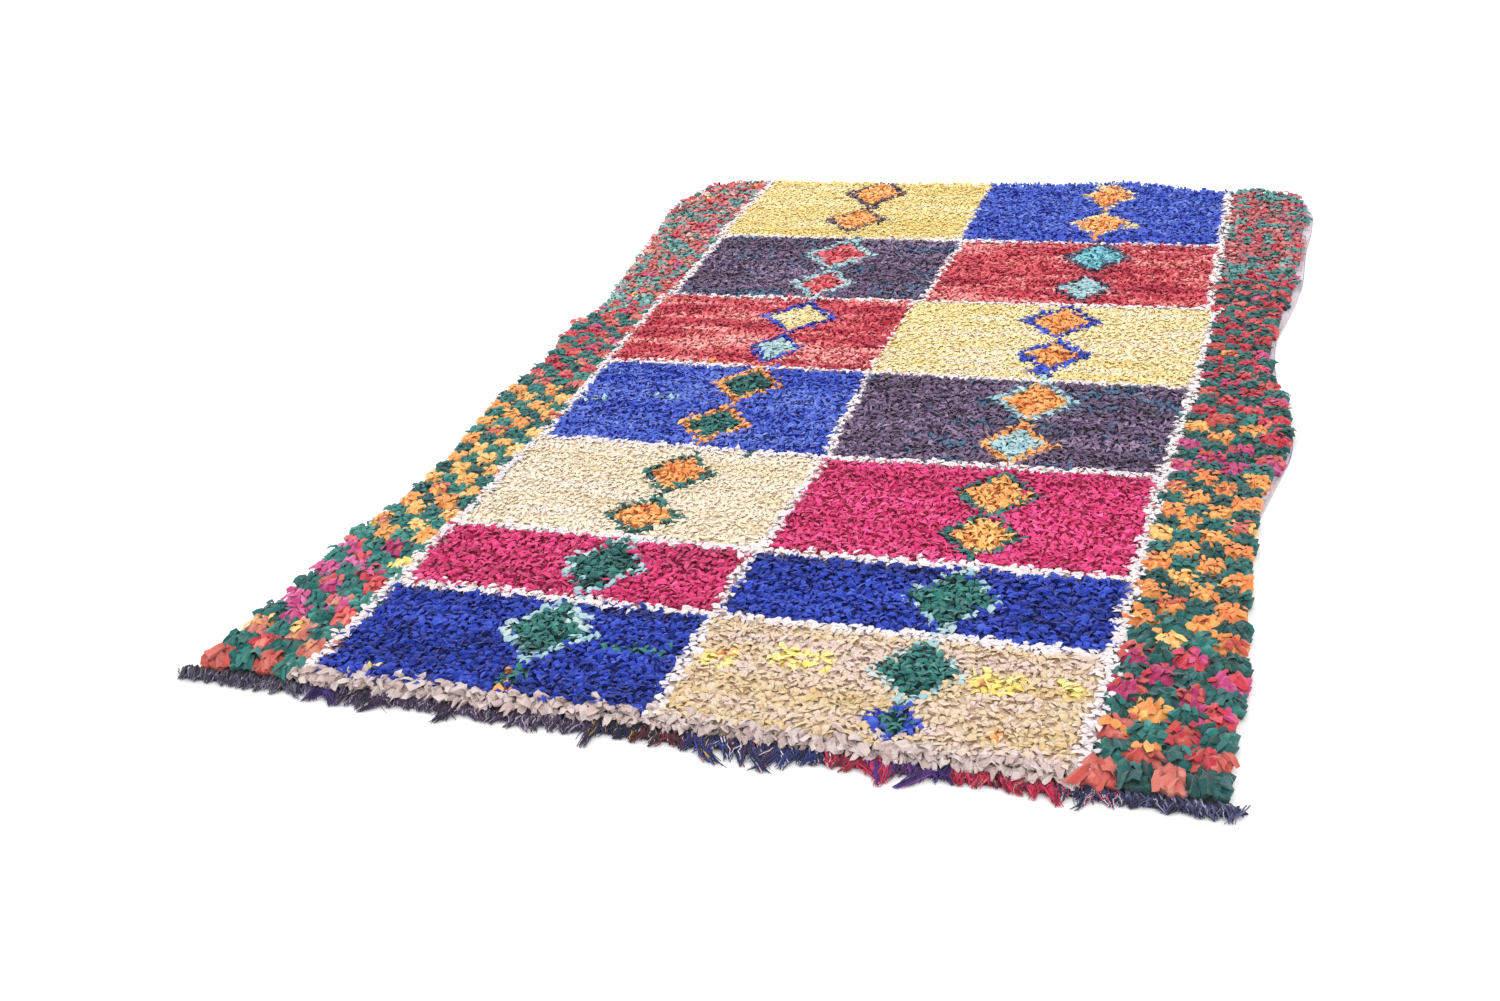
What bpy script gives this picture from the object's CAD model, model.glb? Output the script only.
"""Boucherouite rug: the looks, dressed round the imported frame.

The rug is one woven ground with rag tufts knotted in rows. Seven rows of two panels carry pairs of diamonds,
white lines part them, and a border of puffed checks runs down each long side. The near end closes with a line
of large pale rags, a band of dark wool and an uneven fringe of leftover yarns.

Metres, +Z up. Patterns are laid out in the field frame: across counts from the middle line between the two
columns of panels, and along counts from the near end of the panels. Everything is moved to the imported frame
as its mesh is made.
"""

import logging
import math
from dataclasses import dataclass, field
from enum import Enum

import bpy
import numpy as np
from bpy.types import Material, Node, NodeSocket, NodeTree, Object
from mathutils import Euler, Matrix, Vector


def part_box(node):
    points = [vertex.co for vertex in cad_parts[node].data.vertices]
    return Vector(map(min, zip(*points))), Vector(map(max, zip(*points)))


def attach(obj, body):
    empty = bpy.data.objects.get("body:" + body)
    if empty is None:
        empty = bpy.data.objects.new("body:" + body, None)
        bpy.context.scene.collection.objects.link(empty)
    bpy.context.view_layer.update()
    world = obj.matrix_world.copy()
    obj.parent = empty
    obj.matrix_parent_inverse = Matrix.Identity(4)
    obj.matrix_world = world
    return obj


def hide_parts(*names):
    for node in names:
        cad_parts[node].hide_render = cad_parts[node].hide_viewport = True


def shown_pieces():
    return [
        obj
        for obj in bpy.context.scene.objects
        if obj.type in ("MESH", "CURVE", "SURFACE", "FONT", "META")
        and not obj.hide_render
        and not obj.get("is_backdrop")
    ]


LOG = logging.getLogger("rug")
BODY = "root"

Array = np.ndarray
Rng = np.random.Generator
Stops = tuple[tuple[float, str], ...]
Table = tuple[tuple[float, ...], ...]
Inputs = dict[int | str, object]

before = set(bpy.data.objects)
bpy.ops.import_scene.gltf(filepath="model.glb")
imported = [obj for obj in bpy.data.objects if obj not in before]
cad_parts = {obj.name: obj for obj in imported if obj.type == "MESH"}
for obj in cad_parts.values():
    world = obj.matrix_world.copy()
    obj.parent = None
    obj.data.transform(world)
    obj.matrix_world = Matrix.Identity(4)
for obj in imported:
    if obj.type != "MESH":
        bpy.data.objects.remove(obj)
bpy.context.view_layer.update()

# The end band's corners are known in the field frame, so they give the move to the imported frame
BAND_LEFT_END = -0.822
BAND_BACK = -0.0023


def field_move() -> Array:
    """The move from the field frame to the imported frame."""
    low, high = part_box("fringed_end_band")
    return np.array([low.x - BAND_LEFT_END, high.y - BAND_BACK, 0.0])


MOVE = field_move()


def linear(colour: str) -> tuple[float, float, float, float]:
    """Turns an sRGB hex colour to linear.

    Args:
        colour: The colour as #RRGGBB.

    Returns:
        Linear red, green and blue, and an alpha of 1.
    """
    parts = [int(colour[i : i + 2], 16) / 255 for i in (1, 3, 5)]
    made = [p / 12.92 if p <= 0.04045 else ((p + 0.055) / 1.055) ** 2.4 for p in parts]
    return made[0], made[1], made[2], 1.0


def per_mm(size: float) -> float:
    """A texture scale for features of this many millimetres, where coordinates are metres."""
    return 1000.0 / size


def follow(at: Array, table: Table, column: int = 1) -> Array:
    """Reads a smooth curve through a table's points.

    Args:
        at: Where to read it.
        table: Rows of a place and the values there, with the places rising.
        column: Which of the values to read.

    Returns:
        The curve's value at each place, held level past both ends.
    """
    knots, values = np.array(table).T[[0, column]]
    slopes = np.gradient(values, knots)
    index = np.clip(np.searchsorted(knots, at) - 1, 0, len(knots) - 2)
    step = knots[index + 1] - knots[index]
    t = np.clip((at - knots[index]) / step, 0.0, 1.0)
    start, end = values[index], values[index + 1]
    rise = 3 * t**2 - 2 * t**3
    bend = slopes[index] * step * (t**3 - 2 * t**2 + t) + slopes[index + 1] * step * (t**3 - t**2)
    return start + (end - start) * rise + bend


def drift(across: Array, along: Array, wide: float, long: float, seed: int) -> Array:
    """A smooth random field over the rug.

    Args:
        across: Places across.
        along: Places along.
        wide: Size of its patches across, in metres.
        long: Size of its patches along, in metres.
        seed: Picks the field.

    Returns:
        Values from 0 to 1.
    """
    lattice = np.random.default_rng(seed).random((256, 256))
    u, v = np.asarray(across) / wide + 97.3, np.asarray(along) / long + 41.7
    i, j = np.floor(u).astype(int), np.floor(v).astype(int)
    s, t = u - i, v - j
    s, t = s * s * (3 - 2 * s), t * t * (3 - 2 * t)
    i0, i1, j0, j1 = i % 256, (i + 1) % 256, j % 256, (j + 1) % 256
    low = lattice[i0, j0] * (1 - s) + lattice[i1, j0] * s
    high = lattice[i0, j1] * (1 - s) + lattice[i1, j1] * s
    return low * (1 - t) + high * t


class Cloth(Enum):
    """The rag lots, in the order that a maker would sort them."""

    COBALT = 0
    RASPBERRY = 1
    CREAM = 2
    TAN = 3
    RED = 4
    CHARCOAL = 5
    YELLOW = 6
    WHITE = 7
    BLUSH = 8
    EMERALD = 9
    ORANGE = 10
    PALE_BLUE = 11
    TEAL_BLUE = 12
    CORAL = 13
    MAGENTA = 14
    GOLD = 15
    CRIMSON = 16
    FADED_GREEN = 17
    FADED_RED = 18
    LEMON = 19


# Pale cloths whose rows the photo shows packed close and smooth
SMOOTH = [cloth.value for cloth in (Cloth.CREAM, Cloth.YELLOW, Cloth.TAN, Cloth.WHITE, Cloth.LEMON)]


# How Blender's names for the types of shader nodes start
SHADER_NODE = "ShaderNode"

# Where a mix node keeps its share, its two colours and its result
SHARE, FIRST, SECOND, MIXED = 0, 6, 7, 2
MULTIPLY = {"data_type": "RGBA", "blend_type": "MULTIPLY"}

# How far up its colour ramp a rag's washed-out tip lies above its root
TIP_FADE = 0.14


def feed(tree: NodeTree, node: Node, inputs: Inputs) -> None:
    """Fills a node's inputs.

    Args:
        tree: The material's node tree.
        node: The node.
        inputs: For each input, by name or place, the socket that feeds it or the value that it holds.
    """
    for where, value in inputs.items():
        if isinstance(value, NodeSocket):
            tree.links.new(value, node.inputs[where])
        else:
            node.inputs[where].default_value = value


def add_node(
    tree: NodeTree, kind: str, out: int | str, inputs: Inputs | None = None, **settings: object
) -> NodeSocket:
    """Adds a node with its settings and links.

    Args:
        tree: The material's node tree.
        kind: Blender's name for the type of shader node, without the words that all share.
        out: The output to return, by name or place.
        inputs: For each input, by name or place, the socket that feeds it or the value that it holds.
        **settings: The node's own properties.

    Returns:
        The node's output.
    """
    node = tree.nodes.new(SHADER_NODE + kind)
    for name, value in settings.items():
        setattr(node, name, value)
    feed(tree, node, inputs or {})
    return node.outputs[out]


def start_material(name: str) -> tuple[Material, NodeTree, NodeSocket]:
    """Starts a finish.

    Args:
        name: The real material's name.

    Returns:
        The material, its node tree and the object coordinates that its textures are laid out in.
    """
    material = bpy.data.materials.new(name)
    material.use_nodes = True
    tree = material.node_tree
    return material, tree, add_node(tree, "TexCoord", "Object")


def set_stops(ramp: bpy.types.ColorRamp, stops: Stops, hard: bool = False) -> None:
    """Puts colour stops on a ramp.

    Args:
        ramp: The ramp.
        stops: Places from 0 to 1, each with its hex colour.
        hard: Whether each stop's colour holds until the next.
    """
    ramp.interpolation = "CONSTANT" if hard else "LINEAR"
    while len(ramp.elements) < len(stops):
        ramp.elements.new(0.5)
    for element, (place, colour) in zip(ramp.elements, stops, strict=True):
        element.position = place
        element.color = linear(colour)


@dataclass(frozen=True)
class RagFinish:
    """Cut strips of worn cotton jersey and shirting: matt, a little fuzzy, creased where they were knotted.

    The eye sees a soft sheen at grazing angles, a colour that shifts from one rag to the next, darker roots
    and slightly washed-out cut ends. The knit is 0.6 mm on the real cloth, which is too fine to show, so it
    is drawn at twice that.
    """

    name: str
    lots: Stops
    crease_mm: float = 6.0
    knit_mm: float = 1.3
    mottle_mm: float = 9.0
    root_tone: float = 0.74
    root_stop: int = 1
    worn: float = 0.30
    sheen: float = 0.22
    crease_depth: float = 0.55
    soft: float = 0.0

    @property
    def root_colour(self) -> str:
        """The colour of its packed roots, as hex."""
        return self.lots[self.root_stop][1]

    def make(self) -> Material:
        """Builds the material.

        Returns:
            The material, which reads the tufts' shade and rise.
        """
        material, tree, place = start_material(self.name)
        shade = add_node(tree, "Attribute", "Fac", attribute_name="shade")
        rise = add_node(tree, "Attribute", "Fac", attribute_name="rise")
        spots = {"Vector": place, "Scale": per_mm(self.mottle_mm), "Detail": 3.0}
        mottle = add_node(tree, "TexNoise", "Fac", spots)
        wear = {0: mottle, 1: self.worn, 2: -self.worn / 2}
        worn = add_node(tree, "Math", 0, wear, operation="MULTIPLY_ADD")
        washed = add_node(tree, "Math", 0, {0: rise, 1: TIP_FADE, 2: worn}, operation="MULTIPLY_ADD")
        lot = add_node(tree, "Math", 0, {0: shade, 1: washed}, operation="ADD")
        ramp = add_node(tree, "ValToRGB", "Color", {"Fac": lot})
        set_stops(ramp.node.color_ramp, self.lots)
        depth = {"Value": rise, "From Min": 0.0, "From Max": 0.55, "To Min": self.root_tone, "To Max": 1.0}
        root = add_node(tree, "MapRange", "Result", depth, interpolation_type="SMOOTHSTEP")
        colour = add_node(tree, "Mix", MIXED, {SHARE: 1.0, FIRST: ramp, SECOND: root}, **MULTIPLY)
        folds = {"Vector": place, "Scale": per_mm(self.crease_mm), "Detail": 2.0, "Distortion": 0.6}
        crease = add_node(tree, "TexNoise", "Fac", folds)
        knit = add_node(tree, "TexVoronoi", "Distance", {"Vector": place, "Scale": per_mm(self.knit_mm)})
        bends = {"Height": crease, "Strength": self.crease_depth, "Distance": 0.004}
        creased = add_node(tree, "Bump", "Normal", bends)
        grain = {"Height": knit, "Strength": 0.25, "Distance": 0.0006, "Normal": creased}
        knitted = add_node(tree, "Bump", "Normal", grain)
        rough = add_node(tree, "MapRange", "Result", {"Value": crease, "To Min": 0.78, "To Max": 0.95})
        looks = {
            "Base Color": colour,
            "Roughness": rough,
            "Normal": knitted,
            "Specular IOR Level": 0.25,
            "Sheen Weight": self.sheen,
            "Sheen Roughness": 0.6,
            "Subsurface Weight": self.soft,
            "Subsurface Radius": (1.0, 0.85, 0.7),
            "Subsurface Scale": 0.004,
        }
        feed(tree, tree.nodes["Principled BSDF"], looks)
        return material


# Thin pale cloths, which let light through and crease little
PALE = {"root_stop": 2, "worn": 0.2, "crease_depth": 0.35, "soft": 0.4}


RAGS: dict[Cloth, RagFinish] = {
    Cloth.COBALT: RagFinish(
        "cobalt_cotton_jersey",
        ((0.0, "#081E6B"), (0.3, "#1031A1"), (0.6, "#2B48C2"), (0.88, "#4F68CC"), (1.0, "#7288D8")),
        sheen=0.14,
    ),
    Cloth.RASPBERRY: RagFinish(
        "raspberry_cotton_jersey", ((0.0, "#A4144C"), (0.35, "#CC1E65"), (0.7, "#E1367E"), (1.0, "#F15FA5"))
    ),
    Cloth.CREAM: RagFinish(
        "cream_cotton_shirting",
        ((0.0, "#E2C68C"), (0.25, "#ECD9B6"), (0.7, "#F0DFC8"), (1.0, "#F1E3DC")),
        root_tone=1.05,
        **PALE,
    ),
    Cloth.TAN: RagFinish(
        "straw_cotton_shirting",
        ((0.0, "#C69E67"), (0.3, "#D8B987"), (0.6, "#DDC4A6"), (0.85, "#DABDB5"), (1.0, "#E1CFCE")),
        root_tone=1.0,
        **PALE,
    ),
    Cloth.RED: RagFinish(
        "red_cotton_jersey",
        ((0.0, "#9E1632"), (0.3, "#C52A45"), (0.6, "#DA525F"), (0.85, "#EB8D8B"), (1.0, "#F3B2AE")),
    ),
    Cloth.CHARCOAL: RagFinish(
        "charcoal_cotton_jersey",
        ((0.0, "#34253B"), (0.3, "#523D5C"), (0.6, "#71597C"), (0.82, "#9C83A3"), (0.89, "#69525D"),
         (0.94, "#454A7A"), (1.0, "#3F6486")),
    ),  # fmt: skip
    Cloth.YELLOW: RagFinish(
        "yellow_cotton_jersey",
        ((0.0, "#DDB64F"), (0.2, "#EACB74"), (0.5, "#F0DA97"), (0.8, "#F1DDB4"), (1.0, "#EFD9CC")),
        root_tone=1.05,
        **PALE,
    ),
    Cloth.WHITE: RagFinish(
        "white_cotton_shirting",
        ((0.0, "#CFB9BB"), (0.4, "#E2D2D2"), (1.0, "#F2E8E8")),
        root_tone=1.0,
        **(PALE | {"root_stop": 1}),
    ),
    Cloth.BLUSH: RagFinish(
        "blush_cotton_shirting",
        ((0.0, "#BCA19C"), (0.4, "#CCB8B4"), (0.8, "#D6C6C2"), (1.0, "#DED3CE")),
        root_tone=0.38,
        crease_depth=0.5,
        soft=0.2,
    ),
    Cloth.EMERALD: RagFinish(
        "emerald_cotton_jersey",
        ((0.0, "#073834"), (0.3, "#0F5553"), (0.6, "#196D68"), (0.85, "#2D8177"), (1.0, "#48978B")),
        root_tone=0.40,
    ),
    Cloth.ORANGE: RagFinish(
        "orange_cotton_jersey", ((0.0, "#DF6F3D"), (0.3, "#EF9A50"), (0.65, "#F7B465"), (1.0, "#FCD698"))
    ),
    Cloth.PALE_BLUE: RagFinish(
        "pale_blue_cotton_poplin",
        ((0.0, "#6D9EAE"), (0.35, "#90BAC4"), (0.7, "#AECACC"), (1.0, "#CDD5CF")),
        root_tone=0.95,
    ),
    Cloth.TEAL_BLUE: RagFinish(
        "teal_blue_cotton_poplin", ((0.0, "#3F93A2"), (0.4, "#68B8C6"), (0.8, "#90D0DC"), (1.0, "#B6E4EA"))
    ),
    Cloth.CORAL: RagFinish(
        "coral_cotton_jersey",
        ((0.0, "#B5392E"), (0.3, "#C4544B"), (0.6, "#CC6E61"), (0.85, "#D2877A"), (1.0, "#D39452")),
        root_tone=0.48,
    ),
    Cloth.MAGENTA: RagFinish(
        "magenta_cotton_jersey",
        ((0.0, "#A11C50"), (0.35, "#BD3674"), (0.7, "#CC568F"), (1.0, "#DA7CAE")),
        root_tone=0.60,
    ),
    Cloth.GOLD: RagFinish(
        "golden_cotton_jersey",
        ((0.0, "#CD6C33"), (0.25, "#E4954E"), (0.6, "#F4B563"), (1.0, "#FAD387")),
        root_tone=0.78,
    ),
    Cloth.CRIMSON: RagFinish(
        "crimson_cotton_jersey",
        ((0.0, "#9C142E"), (0.3, "#C0233E"), (0.6, "#D1454E"), (0.85, "#DE6862"), (1.0, "#E98A78")),
        root_tone=0.48,
    ),
    Cloth.FADED_GREEN: RagFinish(
        "faded_green_cotton_jersey", ((0.0, "#2A635C"), (0.4, "#4B8B8B"), (0.7, "#70A29C"), (1.0, "#A3C3BE"))
    ),
    Cloth.FADED_RED: RagFinish(
        "faded_red_cotton_jersey", ((0.0, "#A03548"), (0.35, "#BE5D63"), (0.7, "#CE8C85"), (1.0, "#DFBCAE"))
    ),
    Cloth.LEMON: RagFinish("lemon_cotton_jersey", ((0.0, "#E6C65A"), (0.5, "#F1DC78"), (1.0, "#F6E8A6"))),
}


# A wave texture draws this many bands in one unit of its scale
WAVE_BANDS = 20


@dataclass(frozen=True)
class YarnFinish:
    """Leftover wool and acrylic yarn, plied and matt, with a hairy edge.

    The eye sees separate strands of a few plain colours, and the ply as slanting ridges about 2 mm apart.
    """

    name: str
    yarns: Stops
    fuzz_mm: float = 2.5
    ply_mm: float = 2.2
    sheen: float = 0.12

    def make(self) -> Material:
        """Builds the material.

        Returns:
            The material, which reads each strand's shade.
        """
        material, tree, place = start_material(self.name)
        shade = add_node(tree, "Attribute", "Fac", attribute_name="shade")
        ramp = add_node(tree, "ValToRGB", "Color", {"Fac": shade})
        set_stops(ramp.node.color_ramp, self.yarns, hard=True)
        hairs = {"Vector": place, "Scale": per_mm(self.fuzz_mm), "Detail": 3.0}
        fuzz = add_node(tree, "TexNoise", "Fac", hairs)
        depth = {"Value": fuzz, "From Min": 0.3, "From Max": 0.7, "To Min": 0.7, "To Max": 1.25}
        tone = add_node(tree, "MapRange", "Result", depth)
        colour = add_node(tree, "Mix", MIXED, {SHARE: 1.0, FIRST: ramp, SECOND: tone}, **MULTIPLY)
        twist = {"Vector": place, "Scale": per_mm(self.ply_mm) / WAVE_BANDS, "Distortion": 3.0, "Detail": 2.0}
        ply = add_node(tree, "TexWave", "Fac", twist, bands_direction="DIAGONAL")
        bump = add_node(tree, "Bump", "Normal", {"Height": ply, "Strength": 0.5, "Distance": 0.001})
        rough = add_node(tree, "MapRange", "Result", {"Value": fuzz, "To Min": 0.82, "To Max": 0.98})
        looks = {
            "Base Color": colour,
            "Roughness": rough,
            "Normal": bump,
            "Specular IOR Level": 0.2,
            "Sheen Weight": self.sheen,
            "Sheen Roughness": 0.7,
        }
        feed(tree, tree.nodes["Principled BSDF"], looks)
        return material


@dataclass(frozen=True)
class GroundFinish:
    """Weft-faced woven ground of wool: the eye sees weft ridges about 4 mm apart, crossed by knots."""

    name: str = "woven_wool_ground"
    wools: Stops = ((0.3, "#B9AEA6"), (0.7, "#E2DAD2"))
    weft_mm: float = 4.0
    knot_mm: float = 9.0
    wool_mm: float = 14.0
    crumple_mm: float = 5.0

    def make(self) -> Material:
        """Builds the material.

        Returns:
            The material, which reads the colour of the knots from the cloth's own attribute.
        """
        material, tree, place = start_material(self.name)
        knots = add_node(tree, "Attribute", "Color", attribute_name="knots")
        along = add_node(tree, "SeparateXYZ", "Y", {0: place})
        turns = {0: along, 1: 2 * math.pi * per_mm(self.weft_mm)}
        ribs = add_node(tree, "Math", 0, turns, operation="MULTIPLY")
        rib = add_node(tree, "Math", 0, {0: ribs}, operation="SINE")
        cells = {"Vector": place, "Scale": per_mm(self.knot_mm), "Randomness": 0.6}
        spots = add_node(tree, "TexVoronoi", "Distance", cells)
        gaps = {"Value": spots, "From Min": 0.25, "From Max": 0.6, "To Min": 0.85, "To Max": 0.15}
        bare = add_node(tree, "MapRange", "Result", gaps)
        cover = add_node(tree, "Attribute", "Fac", attribute_name="cover")
        seen = add_node(tree, "Math", 0, {0: bare, 1: cover}, operation="MAXIMUM")
        shades = {"Vector": place, "Scale": per_mm(self.wool_mm), "Detail": 4.0}
        wool = add_node(tree, "TexNoise", "Fac", shades)
        ramp = add_node(tree, "ValToRGB", "Color", {"Fac": wool})
        set_stops(ramp.node.color_ramp, self.wools)
        bunches = {"Vector": place, "Scale": per_mm(self.crumple_mm), "Detail": 3.0, "Distortion": 0.8}
        packed = add_node(tree, "TexNoise", "Fac", bunches)
        depth = {"Value": packed, "From Min": 0.3, "From Max": 0.7, "To Min": 0.78, "To Max": 1.12}
        crumple = add_node(tree, "MapRange", "Result", depth)
        rags = add_node(tree, "Mix", MIXED, {SHARE: 1.0, FIRST: knots, SECOND: crumple}, **MULTIPLY)
        colour = add_node(tree, "Mix", MIXED, {SHARE: seen, FIRST: ramp, SECOND: rags}, data_type="RGBA")
        ridge = add_node(tree, "Math", 0, {0: rib, 1: 0.5, 2: wool}, operation="MULTIPLY_ADD")
        bump = add_node(tree, "Bump", "Normal", {"Height": ridge, "Strength": 0.6, "Distance": 0.0012})
        rough = add_node(tree, "MapRange", "Result", {"Value": wool, "To Min": 0.82, "To Max": 0.97})
        looks = {
            "Base Color": colour,
            "Roughness": rough,
            "Normal": bump,
            "Specular IOR Level": 0.2,
            "Sheen Weight": 0.2,
        }
        feed(tree, tree.nodes["Principled BSDF"], looks)
        return material


def add_object(name: str, data: bpy.types.ID) -> Object:
    """Puts new data in the scene as an object.

    Args:
        name: The object's name.
        data: Its mesh, lamp or camera.

    Returns:
        The object.
    """
    made = bpy.data.objects.new(name, data)
    bpy.context.scene.collection.objects.link(made)
    return made


def make_mesh(
    name: str,
    points: Array,
    faces: list[Array],
    charts: list[Array],
    numbers: dict[str, Array],
    material: Material,
    crease: float,
) -> Object:
    """Makes a mesh object from arrays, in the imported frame.

    Args:
        name: The piece's name.
        points: Vertices in the field frame, (n, 3).
        faces: Arrays of faces, each (m, corners).
        charts: The map coordinates of those faces' corners, each (m, corners, 2).
        numbers: Values for each vertex, (n,) for a number or (n, 4) for a colour.
        material: Its finish.
        crease: Edges sharper than this many degrees stay sharp.

    Returns:
        The object, at the origin.
    """
    mesh = bpy.data.meshes.new(name)
    corners = np.concatenate([f.ravel() for f in faces]).astype(np.int32)
    totals = np.concatenate([np.full(len(f), f.shape[1]) for f in faces]).astype(np.int32)
    starts = np.concatenate([[0], np.cumsum(totals)[:-1]]).astype(np.int32)
    mesh.vertices.add(len(points))
    mesh.vertices.foreach_set("co", (points + MOVE).astype(np.float32).ravel())
    mesh.loops.add(len(corners))
    mesh.loops.foreach_set("vertex_index", corners)
    mesh.polygons.add(len(totals))
    mesh.polygons.foreach_set("loop_start", starts)
    mesh.polygons.foreach_set("loop_total", totals)
    mesh.update(calc_edges=True)
    mesh.validate()
    mesh.polygons.foreach_set("use_smooth", np.ones(len(totals), bool))
    mesh.set_sharp_from_angle(angle=math.radians(crease))
    for key, values in numbers.items():
        kind, part = ("FLOAT_COLOR", "color") if values.ndim == 2 else ("FLOAT", "value")
        stored = mesh.attributes.new(key, kind, "POINT")
        stored.data.foreach_set(part, values.astype(np.float32).ravel())
    chart = mesh.uv_layers.new(name="OFBake")
    flat = np.concatenate([c.reshape(-1, 2) for c in charts]).astype(np.float32)
    chart.uv.foreach_set("vector", flat.ravel())
    mesh.materials.append(material)
    made = add_object(name, mesh)
    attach(made, BODY)
    return made


def turned(rings: Array) -> Array:
    """Puts every strip's points in the order round that makes its faces look outwards.

    Args:
        rings: Points of each strip's rings, (strips, rings, points round, 3).

    Returns:
        The same points, those of some strips in the other order.
    """
    area = np.cross(rings, np.roll(rings, -1, 2)).sum(2)
    ahead = np.gradient(rings.mean(2), axis=1)
    wrong = (area * ahead).sum((1, 2)) < 0
    return np.where(wrong[:, None, None, None], rings[:, :, ::-1], rings)


def make_strips(
    name: str, rings: Array, shade: Array, material: Material, crease: float, tips: Array | None = None
) -> Object:
    """Makes one joined mesh of many closed strips, such as rag ends or strands of yarn.

    Args:
        name: The piece's name.
        rings: Points of each strip's rings in the field frame, (strips, rings, points round, 3).
        shade: A number from 0 to 1 for each strip, which picks its colour.
        material: The finish.
        crease: Edges sharper than this many degrees stay sharp.
        tips: The point that closes each strip, (strips, 3), or None for a flat end.

    Returns:
        The object.
    """
    rings = turned(rings)
    strips, count, around = rings.shape[:3]
    first = np.arange(strips)[:, None, None] * count * around
    ring = np.arange(count - 1)[None, :, None] * around
    here = np.arange(around)[None, None, :]
    after = (here + 1) % around
    sides = np.stack([first + ring + here, first + ring + after], -1)
    sides = np.concatenate([sides, np.flip(sides, -1) + around], -1).reshape(-1, 4)
    root = first[:, 0, :] + np.arange(around)[::-1]
    last = first[:, 0, :] + (count - 1) * around + np.arange(around)
    side_chart, root_chart, flat_chart, point_chart = chart_cells(strips, count, around)
    points, steps = rings.reshape(-1, 3), count - 1 if tips is None else count
    rise = np.broadcast_to(np.arange(count)[None, :, None] / steps, (strips, count, around)).reshape(-1)
    tone = np.repeat(shade, count * around)
    ends, end_chart = last, flat_chart
    if tips is not None:
        apex = np.broadcast_to(len(points) + np.arange(strips)[:, None], last.shape)
        ends, end_chart = np.stack([last, np.roll(last, -1, 1), apex], -1).reshape(-1, 3), point_chart
        points, tone = np.concatenate([points, tips]), np.append(tone, shade)
        rise = np.append(rise, np.ones(strips))
    faces, charts = [sides, root, ends], [side_chart, root_chart, end_chart]
    return make_mesh(name, points, faces, charts, {"shade": tone, "rise": rise}, material, crease)


def cell_corners(count: int) -> tuple[Array, int]:
    """Lays out equal square cells on the unit square of a map.

    Args:
        count: How many cells are needed.

    Returns:
        The low corner of each cell, (count, 2), and how many cells stand side by side.
    """
    columns = math.ceil(math.sqrt(count))
    order = np.arange(count)
    return np.stack([order % columns, order // columns], -1) / columns, columns


def disc_chart(angle: Array, middle: float, tall: float) -> Array:
    """A flat oval low or high in a cell of the map, its points at these angles."""
    return np.stack([0.5 + 0.4 * np.cos(angle), middle + tall * np.sin(angle)], -1)


def grid_faces(order: Array) -> Array:
    """The four corners of every face of a grid, from the numbers of its points."""
    return np.stack([order[:-1, :-1], order[1:, :-1], order[1:, 1:], order[:-1, 1:]], -1).reshape(-1, 4)


def grid_rim(order: Array) -> Array:
    """The points round the rim of a grid, from the numbers of its points."""
    return np.concatenate([order[:-1, 0], order[-1, :-1], order[:0:-1, -1], order[0, :0:-1]])


def chart_cells(strips: int, count: int, around: int) -> tuple[Array, Array, Array, Array]:
    """Gives each strip a cell of the unit square, with its sides unrolled between its two ends.

    Args:
        strips: How many strips there are.
        count: Rings in each.
        around: Points in each ring.

    Returns:
        Map coordinates of the sides, (faces, 4, 2), of the root faces and flat tip faces, (strips, around, 2)
        each, and of the faces of pointed tips, (faces, 3, 2).
    """
    corner, columns = cell_corners(strips)
    size = 0.94 / columns
    u = (np.arange(around)[:, None] + np.array([0, 1, 1, 0])[None]) / around
    v = 0.12 + 0.76 * (np.arange(count - 1)[:, None] + np.array([0, 0, 1, 1])[None]) / (count - 1)
    cell = np.stack(np.broadcast_arrays(u[None, :, :], v[:, None, :]), -1).reshape(-1, 4, 2)
    sides = corner[:, None, None] + cell[None] * size
    angle = 2 * np.pi * np.arange(around) / around
    root, flat = (corner[:, None] + disc_chart(angle, middle, 0.04)[None] * size for middle in (0.05, 0.95))
    point = (np.arange(around)[:, None] + np.array([0, 1, 0.5])[None]) / around
    point = np.stack([point, np.broadcast_to([0.89, 0.89, 0.99], point.shape)], -1)
    points = corner[:, None, None] + point[None] * size
    return sides.reshape(-1, 4, 2), root, flat, points.reshape(-1, 3, 2)


# Mounds of a border: how high their bases stand, and the angle from which their edges look sharp
MOUND_BASE = 0.0045
MOUND_CREASE = 22.0


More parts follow.
